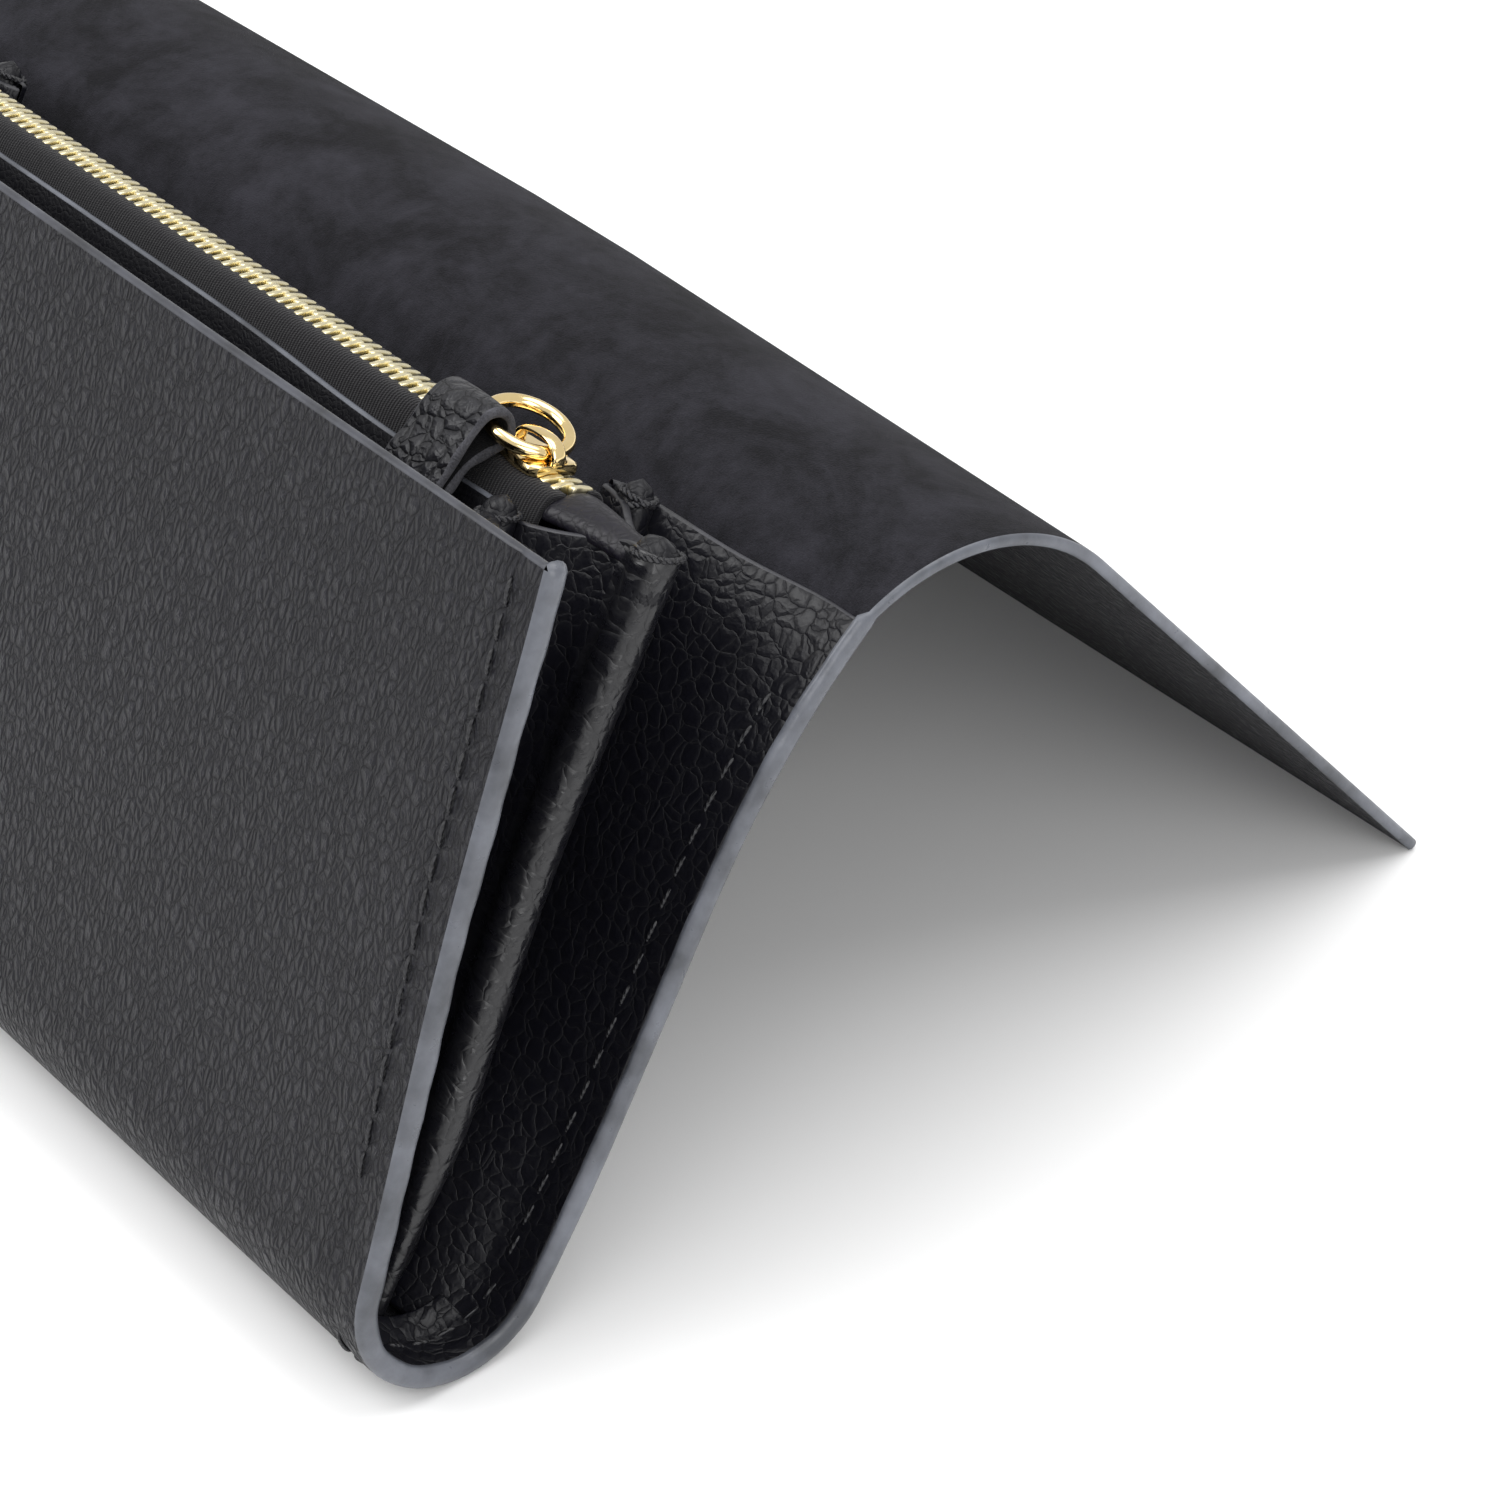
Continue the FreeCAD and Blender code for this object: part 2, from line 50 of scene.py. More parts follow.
# Wallet profile, in millimetres and degrees. y is measured from the middle of the rounded bottom and
# z from the ground, and place() moves both into the row frame.
HALF = 100.0
SHIFT_Y = -66.0775
LEATHER = 1.5
GUSSET_T = 1.0
BOTTOM = np.array([0.0, 13.4])
MID_R = 12.65
FRONT_LEAN = 67.0
BACK_LEAN = 52.0
POCKET_LEAN = 57.0
FRONT_HEIGHT = 86.5
BACK_HEIGHT = 86.0
FLAP_START = 24.0
FLAP_END = -52.5
FLAP_R = 27.0
FLAP_LENGTH = 117.6
CHAIN_R = 83.0
CHAIN_TILT = 13.0
FRONT_BOW = 0.8
BACK_BOW = 3.4
ARCH_RISE = 1.6


# ---- frames and profile curves --------------------------------------------------------------------

def unit(angle):
    a = math.radians(angle)
    return np.array([math.cos(a), math.sin(a)])


FRONT_FOLD = BOTTOM + MID_R * unit(FRONT_LEAN + 90)
BACK_START = BOTTOM + MID_R * unit(BACK_LEAN - 90)
FLAP_FOLD = BACK_START + BACK_HEIGHT * unit(BACK_LEAN)
ARCH_CENTRE = FLAP_FOLD + FLAP_R * unit(FLAP_START - 90)
BEND_LENGTH = FLAP_R * math.radians(FLAP_START - FLAP_END)
BOTTOM_LENGTH = MID_R * math.radians(270 - FRONT_LEAN + BACK_LEAN - 90)
S_BOTTOM = FRONT_HEIGHT
S_BACK = S_BOTTOM + BOTTOM_LENGTH
S_FLAP = S_BACK + BACK_HEIGHT
S_END = S_FLAP + FLAP_LENGTH


def place(x, y, z):
    """Profile millimetres to a point of the row frame, in metres."""
    return Vector((x * MM, (y + SHIFT_Y) * MM, z * MM))


def to_row(points):
    moved = np.array(points, float)
    moved[..., 1] += SHIFT_Y
    return moved * MM


def pocket(x, n, r):
    """Profile point from the zip pocket's own coordinates: length, across, up."""
    na, ra = unit(POCKET_LEAN - 90), unit(POCKET_LEAN)
    return np.array([x, BOTTOM[0] + n * na[0] + r * ra[0], BOTTOM[1] + n * na[1] + r * ra[1]])


def chain(x, a, m):
    """Profile point from the zip chain's coordinates: length, across the teeth, out of the pocket."""
    c, s = unit(CHAIN_TILT)
    return pocket(x, a * c - m * s, CHAIN_R + a * s + m * c)


def pocket_coordinates(y, z):
    na, ra = unit(POCKET_LEAN - 90), unit(POCKET_LEAN)
    dy, dz = y - BOTTOM[0], z - BOTTOM[1]
    return dy * na[0] + dz * na[1], dy * ra[0] + dz * ra[1]


def shell_middle(s, x):
    """Middle line of the outer leather, s millimetres from the front's top edge, at length x."""
    if s < S_BOTTOM:
        r = FRONT_HEIGHT - s
        bow = FRONT_BOW * math.sin(math.pi * r / FRONT_HEIGHT) ** 2
        dip = 0.3 * math.exp(-((x - 30) / 55) ** 2) * (r / FRONT_HEIGHT) ** 2
        return FRONT_FOLD + (r - dip) * unit(FRONT_LEAN) + bow * unit(FRONT_LEAN + 90)
    if s < S_BACK:
        angle = FRONT_LEAN + 90 + math.degrees((s - S_BOTTOM) / MID_R)
        return BOTTOM + MID_R * unit(angle)
    if s < S_FLAP:
        r = s - S_BACK
        bow = BACK_BOW * math.sin(math.pi * (r / BACK_HEIGHT) ** 1.9)
        return BACK_START + r * unit(BACK_LEAN) + bow * unit(BACK_LEAN + 90)
    d = s - S_FLAP
    turned = math.degrees(min(d, BEND_LENGTH) / FLAP_R)
    point = ARCH_CENTRE + FLAP_R * unit(FLAP_START - turned + 90)
    if d > BEND_LENGTH:
        point = point + (d - BEND_LENGTH) * unit(FLAP_END)
    inward = min(1.0, max(0.0, (HALF - abs(x)) / 90.0))
    rise = ARCH_RISE * math.sin(math.pi * min(d / 75.0, 1.0)) ** 2 * inward
    return point + rise * unit(45)


def shell_normal(s, x):
    """Unit normal on the grain side of the outer leather."""
    e = 0.6
    low, high = max(0.0, s - e), min(S_END, s + e)
    t = shell_middle(high, x) - shell_middle(low, x)
    t = t / np.linalg.norm(t)
    return np.array([t[1], -t[0]])


# ---- mesh helpers -----------------------------------------------------------------------------------

def new_object(name, vertices, faces, materials, indices=None, smooth=True, uv=None):
    mesh = bpy.data.meshes.new(name)
    mesh.from_pydata([tuple(v) for v in vertices], [], faces)
    mesh.validate()
    for material in materials:
        mesh.materials.append(material)
    if indices is not None:
        mesh.polygons.foreach_set("material_index", indices)
    mesh.polygons.foreach_set("use_smooth", [smooth] * len(mesh.polygons))
    if uv is not None:
        layer = mesh.uv_layers.new(name="grain")
        for loop in mesh.loops:
            layer.data[loop.index].uv = uv[loop.vertex_index]
    mesh.update()
    obj = bpy.data.objects.new(name, mesh)
    bpy.context.scene.collection.objects.link(obj)
    return obj


def shade_by_angle(obj, degrees):
    """Smooth shading with creases where faces meet at more than an angle."""
    mesh = obj.data
    mesh.set_sharp_from_angle(angle=math.radians(degrees))


def thick_sheet(name, outer, inner, materials, uv, open_rims=(), round_rim=0.35, rim_slots=None):
    """Closed sheet between two grids of profile points (rows along u, columns along v).

    materials are those of the outer face, the inner face and the rim. open_rims names the sides
    ("u0", "u1", "v0", "v1") where the sheet goes on in the next piece, so they get no rim.
    rim_slots gives a side another material index than 2."""
    rim_slots = rim_slots or {}
    nu, nv = outer.shape[:2]
    vertices = list(outer.reshape(-1, 3)) + list(inner.reshape(-1, 3))
    uvs = list(uv.reshape(-1, 2)) * 2
    faces, indices = [], []

    def index(side, i, j):
        return side * nu * nv + i * nv + j

    for i in range(nu - 1):
        for j in range(nv - 1):
            a, b, c, d = index(0, i, j), index(0, i + 1, j), index(0, i + 1, j + 1), index(0, i, j + 1)
            faces.append((a, b, c, d))
            indices.append(0)
            k = nu * nv
            faces.append((d + k, c + k, b + k, a + k))
            indices.append(1)

    corners = {}

    def rim(cells, away, slot):
        """Half-round rim along a line of grid cells; away(i, j) is the direction out of the sheet."""
        steps = 6
        rows = []
        for i, j in cells:
            p, q = outer[i, j], inner[i, j]
            middle, radius = (p + q) / 2, (p - q) / 2
            out = away(i, j) * np.linalg.norm(radius) * round_rim * 2
            line = [index(0, i, j)]
            for k in range(1, steps):
                t = math.pi * k / steps
                vertices.append(middle + radius * math.cos(t) + out * math.sin(t))
                uvs.append(uv[i, j])
                line.append(len(vertices) - 1)
            line.append(index(1, i, j))
            rows.append(line)
        for one, two in zip(rows, rows[1:]):
            for k in range(steps):
                faces.append((one[k], one[k + 1], two[k + 1], two[k]))
                indices.append(slot)
        for cell, line in ((cells[0], rows[0]), (cells[-1], rows[-1])):
            corners.setdefault(cell, []).append(line)

    def direction(i, j, di, dj):
        v = outer[i, j] - outer[i + di, j + dj]
        return v / np.linalg.norm(v)

    if "u0" not in open_rims:
        rim([(0, j) for j in range(nv)], lambda i, j: direction(i, j, 1, 0), rim_slots.get("u0", 2))
    if "u1" not in open_rims:
        rim([(nu - 1, j) for j in range(nv)][::-1], lambda i, j: direction(i, j, -1, 0),
            rim_slots.get("u1", 2))
    if "v0" not in open_rims:
        rim([(i, 0) for i in range(nu)][::-1], lambda i, j: direction(i, j, 0, 1), rim_slots.get("v0", 2))
    if "v1" not in open_rims:
        rim([(i, nv - 1) for i in range(nu)], lambda i, j: direction(i, j, 0, -1), rim_slots.get("v1", 2))
    for lines in corners.values():
        if len(lines) == 2:
            one, two = lines
            for k in range(len(one) - 1):
                faces.append((one[k], one[k + 1], two[k + 1], two[k]))
                indices.append(2)
    obj = new_object(name, to_row(vertices), faces, materials, indices, True, uvs)
    bm_fix_normals(obj)
    return obj


def bm_fix_normals(obj):
    bm = bmesh.new()
    bm.from_mesh(obj.data)
    bmesh.ops.recalc_face_normals(bm, faces=bm.faces)
    bm.to_mesh(obj.data)
    bm.free()


def solid_block(name, sections, materials, bevel, segments=3, angle=35):
    """Closed body through a list of outlines (each the same number of profile points), bevelled."""
    count = len(sections[0])
    vertices = [p for ring in sections for p in ring]
    faces = [tuple(range(count))[::-1]]
    for k in range(len(sections) - 1):
        for i in range(count):
            j = (i + 1) % count
            faces.append((k * count + i, k * count + j, (k + 1) * count + j, (k + 1) * count + i))
    last = (len(sections) - 1) * count
    faces.append(tuple(range(last, last + count)))
    obj = new_object(name, to_row(vertices), faces, materials)
    bm_fix_normals(obj)
    add_bevel(obj, bevel, segments, angle)
    return obj


def add_bevel(obj, width, segments, angle):
    modifier = obj.modifiers.new("edges", "BEVEL")
    modifier.width = width * MM
    modifier.segments = segments
    modifier.limit_method = "ANGLE"
    modifier.angle_limit = math.radians(angle)
    modifier.harden_normals = False
    apply_modifiers(obj)
    shade_by_angle(obj, 40)


def apply_modifiers(obj):
    graph = bpy.context.evaluated_depsgraph_get()
    mesh = bpy.data.meshes.new_from_object(obj.evaluated_get(graph))
    obj.modifiers.clear()
    obj.data = mesh


def tube(name, points, radius, materials, sides=10, closed=False, squash=None, taper=None):
    """Tube along profile points, with an optional radius at each point."""
    pts = [np.array(p, float) for p in points]
    count = len(pts)
    rings = []
    previous = None
    for i, p in enumerate(pts):
        if closed:
            t = pts[(i + 1) % count] - pts[i - 1]
        else:
            t = pts[min(i + 1, count - 1)] - pts[max(i - 1, 0)]
        t = t / np.linalg.norm(t)
        side = previous if previous is not None else np.array([0.31, 0.22, 0.92])
        side = side - t * np.dot(side, t)
        side = side / np.linalg.norm(side)
        previous = side
        up = np.cross(t, side)
        r = radius if taper is None else radius * taper[i]
        rings.append([p + r * (side * math.cos(2 * math.pi * k / sides)
                               + up * math.sin(2 * math.pi * k / sides)) for k in range(sides)])
    vertices = [v for ring in rings for v in ring]
    faces = []
    last = count if closed else count - 1
    for i in range(last):
        for k in range(sides):
            a, b = i * sides + k, i * sides + (k + 1) % sides
            c, d = ((i + 1) % count) * sides + (k + 1) % sides, ((i + 1) % count) * sides + k
            faces.append((a, b, c, d))
    if not closed:
        faces.append(tuple(range(sides))[::-1])
        faces.append(tuple(range((count - 1) * sides, count * sides)))
    obj = new_object(name, to_row(vertices), faces, materials)
    bm_fix_normals(obj)
    return obj


def joined(name, objects):
    """One object from several with the same materials."""
    vertices, faces, offset = [], [], 0
    materials = list(objects[0].data.materials)
    indices = []
    for obj in objects:
        vertices += [obj.matrix_world @ v.co for v in obj.data.vertices]
        faces += [tuple(offset + i for i in p.vertices) for p in obj.data.polygons]
        indices += [p.material_index for p in obj.data.polygons]
        offset += len(obj.data.vertices)
    result = new_object(name, vertices, faces, materials, indices)
    for obj in objects:
        bpy.data.objects.remove(obj)
    return result


# ---- materials --------------------------------------------------------------------------------------

class Nodes:
    """Small helper that adds and links shader nodes."""

    def __init__(self, name):
        self.material = bpy.data.materials.new(name)
        self.material.use_nodes = True
        self.tree = self.material.node_tree
        self.shader = self.tree.nodes["Principled BSDF"]

    def add(self, kind, inputs=None, **settings):
        node = self.tree.nodes.new(kind)
        for key, value in settings.items():
            setattr(node, key, value)
        for key, value in (inputs or {}).items():
            if isinstance(value, bpy.types.NodeSocket):
                self.tree.links.new(value, node.inputs[key])
            else:
                node.inputs[key].default_value = value
        return node

    def set(self, key, value):
        if isinstance(value, bpy.types.NodeSocket):
            self.tree.links.new(value, self.shader.inputs[key])
        else:
            self.shader.inputs[key].default_value = value

    def math(self, operation, a, b=0.0, clamp=False):
        node = self.add("ShaderNodeMath", {0: a, 1: b}, operation=operation)
        node.use_clamp = clamp
        return node.outputs[0]

    def range(self, value, low, high, to_low=0.0, to_high=1.0):
        node = self.add("ShaderNodeMapRange", {"Value": value, "From Min": low, "From Max": high,
                                               "To Min": to_low, "To Max": to_high})
        return node.outputs["Result"]

    def blend_colours(self, factor, one, two):
        node = self.add("ShaderNodeMix", data_type="RGBA")
        for socket, value in ((node.inputs[0], factor), (node.inputs[6], one), (node.inputs[7], two)):
            if isinstance(value, bpy.types.NodeSocket):
                self.tree.links.new(value, socket)
            else:
                socket.default_value = value
        return node.outputs[2]


def millimetre_space(nodes, stretch=(1.0, 1.0, 1.0), uv=False):
    """Texture coordinates in millimetres."""
    source = nodes.add("ShaderNodeTexCoord").outputs["UV" if uv else "Object"]
    scale = 1.0 if uv else 1000.0
    mapping = nodes.add("ShaderNodeMapping", {"Vector": source, "Scale": [scale * s for s in stretch]})
    return mapping.outputs["Vector"]


def grain_height(nodes, space, cell, wrinkle, softness):
    """Pebbles with creases between them, broken up by wrinkles, as a height from 0 to 1."""
    warp = nodes.add("ShaderNodeTexNoise", {"Vector": space, "Scale": 0.45 / cell, "Detail": 3.0})
    offset = nodes.add("ShaderNodeVectorMath", {0: warp.outputs["Color"], 1: (0.5, 0.5, 0.5)},
                       operation="SUBTRACT")
    scaled = nodes.add("ShaderNodeVectorMath", {0: offset.outputs[0], "Scale": 1.5 * cell}, operation="SCALE")
    bent = nodes.add("ShaderNodeVectorMath", {0: space, 1: scaled.outputs[0]}, operation="ADD").outputs[0]
    cells = nodes.add("ShaderNodeTexVoronoi", {"Vector": bent, "Scale": 1.0 / cell, "Randomness": 0.9},
                      feature="DISTANCE_TO_EDGE")
    pebble = nodes.range(cells.outputs["Distance"], 0.0, 0.32)
    soft = nodes.math("POWER", pebble, softness)
    small = nodes.add("ShaderNodeTexVoronoi", {"Vector": bent, "Scale": 2.3 / cell, "Randomness": 1.0},
                      feature="DISTANCE_TO_EDGE")
    fine = nodes.range(small.outputs["Distance"], 0.0, 0.3)
    where = nodes.add("ShaderNodeTexNoise", {"Vector": space, "Scale": 0.25 / cell, "Detail": 2.0})
    share = nodes.range(where.outputs["Fac"], 0.42, 0.62, 0.1, wrinkle)
    cracked = nodes.math("MULTIPLY", share, nodes.math("SUBTRACT", 1.0, fine))
    pores = nodes.add("ShaderNodeTexNoise", {"Vector": space, "Scale": 6.0 / cell, "Detail": 2.0})
    height = nodes.math("SUBTRACT", soft, cracked)
    return nodes.math("ADD", height, nodes.math("MULTIPLY", pores.outputs["Fac"], 0.12)), pebble


def leather(name, colour, roughness, cell, depth, wrinkle=0.35, stretch=(1, 1, 1), uv=False, sheen=0.0,
            spec=0.5, variation=0.18, crease_shade_tone=0.45, softness=0.55):
    nodes = Nodes(name)
    space = millimetre_space(nodes, stretch, uv)
    height, pebble = grain_height(nodes, space, cell, wrinkle, softness)
    cloud = nodes.add("ShaderNodeTexNoise", {"Vector": space, "Scale": 0.03, "Detail": 4.0})
    light = [min(1, c * (1 + variation)) for c in colour] + [1]
    dark = [c * (1 - variation) for c in colour] + [1]
    base = nodes.blend_colours(cloud.outputs["Fac"], dark, light)
    # Creases between the pebbles get a darker colour: this is painted shade in the creases, besides their
    # bump.
    crease_shade_colour = [c * crease_shade_tone for c in colour] + [1]
    nodes.set("Base Color", nodes.blend_colours(nodes.math("POWER", pebble, 0.5), crease_shade_colour, base))
    nodes.set("Roughness", nodes.range(height, 0.0, 1.0, min(1.0, roughness + 0.15), roughness - 0.04))
    nodes.set("Specular IOR Level", spec)
    nodes.set("Sheen Weight", sheen)
    bump = nodes.add("ShaderNodeBump", {"Height": height, "Distance": depth * MM, "Strength": 1.0})
    nodes.set("Normal", bump.outputs["Normal"])
    return nodes.material


def suede(name, colour):
    nodes = Nodes(name)
    space = millimetre_space(nodes)
    cloud = nodes.add("ShaderNodeTexNoise", {"Vector": space, "Scale": 0.055, "Detail": 8.0,
                                             "Roughness": 0.72, "Distortion": 0.6})
    brushed = nodes.add("ShaderNodeTexNoise", {"Vector": space, "Scale": 0.22, "Detail": 5.0,
                                               "Roughness": 0.7})
    nap = nodes.add("ShaderNodeTexNoise", {"Vector": space, "Scale": 4.5, "Detail": 3.0})
    mixed = nodes.math("ADD", nodes.math("MULTIPLY", cloud.outputs["Fac"], 0.52),
                       nodes.math("MULTIPLY", brushed.outputs["Fac"], 0.30))
    mixed = nodes.math("ADD", mixed, nodes.math("MULTIPLY", nap.outputs["Fac"], 0.18))
    tone = nodes.range(mixed, 0.42, 0.60)
    dark = [c * 0.55 for c in colour] + [1]
    light = [c * 1.9 for c in colour] + [1]
    nodes.set("Base Color", nodes.blend_colours(tone, dark, light))
    nodes.set("Roughness", 0.95)
    nodes.set("Specular IOR Level", 0.08)
    nodes.set("Sheen Weight", 0.03)
    nodes.set("Sheen Roughness", 0.6)
    bump = nodes.add("ShaderNodeBump", {"Height": nap.outputs["Fac"], "Distance": 0.2 * MM, "Strength": 0.9})
    nodes.set("Normal", bump.outputs["Normal"])
    return nodes.material


def painted_edge(name, colour, roughness):
    nodes = Nodes(name)
    space = millimetre_space(nodes)
    lumps = nodes.add("ShaderNodeTexNoise", {"Vector": space, "Scale": 0.5, "Detail": 4.0})
    # Large lighter and darker patches along the paint: partly wear, partly painted highlight standing in for
    # the gloss.
    wear_and_highlight = nodes.add("ShaderNodeTexNoise", {"Vector": space, "Scale": 0.09, "Detail": 6.0, "Roughness": 0.6})
    low = [c * 0.55 for c in colour] + [1]
    high = [min(1, c * 1.45) for c in colour] + [1]
    nodes.set("Base Color", nodes.blend_colours(nodes.range(wear_and_highlight.outputs["Fac"], 0.38, 0.66), low, high))
    nodes.set("Roughness", nodes.range(lumps.outputs["Fac"], 0.3, 0.7, roughness - 0.08, roughness + 0.12))
    bump = nodes.add("ShaderNodeBump", {"Height": lumps.outputs["Fac"], "Distance": 0.12 * MM,
                                        "Strength": 0.8})
    nodes.set("Normal", bump.outputs["Normal"])
    return nodes.material


def woven_tape(name, colour):
    """Twill tape with ribs across its length."""
    nodes = Nodes(name)
    space = millimetre_space(nodes)
    ribs = nodes.add("ShaderNodeTexWave", {"Vector": space, "Scale": 0.62, "Distortion": 0.3},
                     wave_type="BANDS", bands_direction="X")
    turned = nodes.add("ShaderNodeMapping", {"Vector": space, "Rotation": (0.6, 0.5, 0.7)})
    yarn = nodes.add("ShaderNodeTexWave",
                     {"Vector": turned.outputs["Vector"], "Scale": 1.4, "Distortion": 1.0},
                     wave_type="BANDS", bands_direction="Z")
    fuzz = nodes.add("ShaderNodeTexNoise", {"Vector": space, "Scale": 5.0, "Detail": 3.0})
    height = nodes.math("ADD", ribs.outputs["Fac"], nodes.math("MULTIPLY", yarn.outputs["Fac"], 0.5))
    height = nodes.math("ADD", height, nodes.math("MULTIPLY", fuzz.outputs["Fac"], 0.4))
    dark = [c * 0.5 for c in colour] + [1]
    light = [c * 1.8 for c in colour] + [1]
    nodes.set("Base Color", nodes.blend_colours(nodes.range(height, 0.2, 1.7), dark, light))
    nodes.set("Roughness", 0.85)
    nodes.set("Specular IOR Level", 0.25)
    nodes.set("Sheen Weight", 0.1)
    bump = nodes.add("ShaderNodeBump", {"Height": height, "Distance": 0.15 * MM, "Strength": 0.9})
    nodes.set("Normal", bump.outputs["Normal"])
    return nodes.material


def thread_material(name, colour):
    nodes = Nodes(name)
    space = millimetre_space(nodes)
    twist = nodes.add("ShaderNodeMapping", {"Vector": space, "Rotation": (0.7, 0.3, 0.6)})
    ply = nodes.add("ShaderNodeTexWave", {"Vector": twist.outputs["Vector"], "Scale": 1.1, "Distortion": 0.4},
                    wave_type="BANDS", bands_direction="X")
    light = [c * 2.5 for c in colour] + [1]
    nodes.set("Base Color", nodes.blend_colours(ply.outputs["Fac"], list(colour) + [1], light))
    nodes.set("Roughness", 0.45)
    bump = nodes.add("ShaderNodeBump", {"Height": ply.outputs["Fac"], "Distance": 0.08 * MM, "Strength": 0.9})
    nodes.set("Normal", bump.outputs["Normal"])
    return nodes.material


def metal(name, colour, roughness, scratch):
    nodes = Nodes(name)
    space = millimetre_space(nodes)
    smear = nodes.add("ShaderNodeTexNoise", {"Vector": space, "Scale": 0.8, "Detail": 4.0})
    tint = [min(1.0, c * 1.05) for c in colour] + [1]
    deep = [c * 0.88 for c in colour] + [1]
    nodes.set("Base Color", nodes.blend_colours(smear.outputs["Fac"], deep, tint))
    nodes.set("Metallic", 1.0)
    nodes.set("Roughness", nodes.range(smear.outputs["Fac"], 0.3, 0.7, roughness, roughness + 0.1))
    bump = nodes.add("ShaderNodeBump", {"Height": smear.outputs["Fac"], "Distance": scratch * MM,
                                        "Strength": 0.5})
    nodes.set("Normal", bump.outputs["Normal"])
    return nodes.material


GRAIN = leather("grain_leather", (0.0105, 0.0105, 0.0145), 0.45, 1.25, 0.50, wrinkle=0.30, uv=True, spec=0.26,
                variation=0.35, stretch=(1.0, 0.6, 1.0), crease_shade_tone=0.55, softness=0.7)
GUSSET = leather("gusset_leather", (0.0040, 0.0040, 0.0064), 0.36, 1.9, 0.12, wrinkle=0.12, spec=0.30,
                 crease_shade_tone=0.8, softness=0.45)
ROLL = leather("rolled_leather", (0.0050, 0.0050, 0.0070), 0.26, 2.2, 0.10, wrinkle=0.3, spec=0.55,
               stretch=(0.35, 0.9, 0.9), crease_shade_tone=0.8, softness=0.7)
POCKET = leather("pocket_leather", (0.0040, 0.0040, 0.0058), 0.5, 0.9, 0.06, spec=0.2, crease_shade_tone=0.8)
PULL = leather("pull_leather", (0.0125, 0.0125, 0.0160), 0.40, 2.0, 0.36, wrinkle=0.25, spec=0.36,
               softness=0.5)
SMOOTH = leather("smooth_leather", (0.0090, 0.0080, 0.0130), 0.36, 1.3, 0.04, spec=0.30)
SUEDE = suede("suede", (0.0125, 0.0122, 0.0155))
LINING = suede("lining_suede", (0.005, 0.005, 0.006))
EDGE = painted_edge("edge_paint", (0.092, 0.098, 0.115), 0.34)
# A darker copy of the edge paint for the front's top edge, which faces away from the light: painted shade.
SHADED_TOP_EDGE = painted_edge("shaded_top_edge_paint", (0.040, 0.042, 0.052), 0.42)
DARK_EDGE = painted_edge("dark_edge_paint", (0.018, 0.018, 0.023), 0.40)
RAW = suede("cut_edge", (0.055, 0.055, 0.062))
TAPE = woven_tape("zip_tape", (0.0042, 0.0038, 0.0052))
THREAD = thread_material("black_thread", (0.0045, 0.0045, 0.0060))
TEETH = metal("pale_gold_teeth", (0.83, 0.75, 0.50), 0.25, 0.02)
GOLD = metal("polished_gold", (0.93, 0.72, 0.36), 0.07, 0.005)


# ---- outer leather ----------------------------------------------------------------------------------

def shell_part(name, s_low, s_high, opens, node_names):
    """Outer leather between two distances along the profile, over the full length."""
    steps = max(2, int((s_high - s_low) / 1.0))
    distances = np.linspace(s_low, s_high, steps + 1)
    inset = 0.45
    near_end = np.array([93.2, 94.2, 95.0, 95.8, 96.8, 98.2, HALF - inset - 0.6, HALF - inset])
    lengths = np.concatenate([-near_end[::-1], np.linspace(-90, 90, 37), near_end])
    outer = np.zeros((len(distances), len(lengths), 3))
    inner = np.zeros_like(outer)
    uv = np.zeros((len(distances), len(lengths), 2))
    for i, s in enumerate(distances):
        for j, x in enumerate(lengths):
            middle = shell_middle(s, x)
            normal = shell_normal(s, x)
            wavy = 0.12 * math.sin(s * 0.23 + 1.3 * math.sin(x * 0.05)) if abs(x) < 99 else 0.0
            pucker = 0.22 * math.exp(-((abs(x) - 95.0) / 0.9) ** 2) if s < S_FLAP - 8 else 0.0
            high = middle + normal * (LEATHER / 2 + wavy * 0.3 - pucker)
            edge_cover = 0.0
            if j in (0, len(lengths) - 1) and s < S_FLAP - 1.0:
                edge_cover = GUSSET_T + 0.4 + 0.06 * math.sin(s * 0.9) + 0.10 * math.sin(s * 0.23 + 1.0)
            low = middle - normal * (LEATHER / 2 + edge_cover)
            outer[i, j] = (x, high[0], high[1])
            inner[i, j] = (x, low[0], low[1])
            uv[i, j] = (x, s)
    # The front's top rim (slot 3) gets the darker copy of the edge paint, which is painted shade.
    obj = thick_sheet(name, outer, inner, [GRAIN, SUEDE, EDGE, SHADED_TOP_EDGE], uv, opens, 0.35, {"u0": 3})
    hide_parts(*node_names)
    return obj


def blend_along(obj):
    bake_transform(obj)


# The front and back sheets meet at the middle of the bottom.
S_BOTTOM_SEAM = S_BOTTOM + BOTTOM_LENGTH / 2
S_ROOT_SEAM = S_FLAP + 12.0
S_BRIDGE_SEAM = S_FLAP + 42.0
front_sheet = shell_part("outer_leather_front", 0.0, S_BOTTOM_SEAM, ("u1",),
                         ["front_panel", "bottom_fold_front_half"])
back_sheet = shell_part("outer_leather_back", S_BOTTOM_SEAM, S_ROOT_SEAM, ("u0", "u1"),
                        ["back_panel", "bottom_fold_rear_half"])
arch_sheet = shell_part("outer_leather_arch", S_ROOT_SEAM, S_BRIDGE_SEAM, ("u0", "u1"), ["flap_root_strip"])
flap_sheet = shell_part("outer_leather_flap", S_BRIDGE_SEAM, S_END, ("u0",),
                        ["flap_bridge_strip", "flap_panel"])
blend_along(front_sheet)
blend_along(back_sheet)
blend_along(arch_sheet)
blend_along(flap_sheet)

# ---- gussets ----------------------------------------------------------------------------------------

INNER_R = MID_R - LEATHER / 2


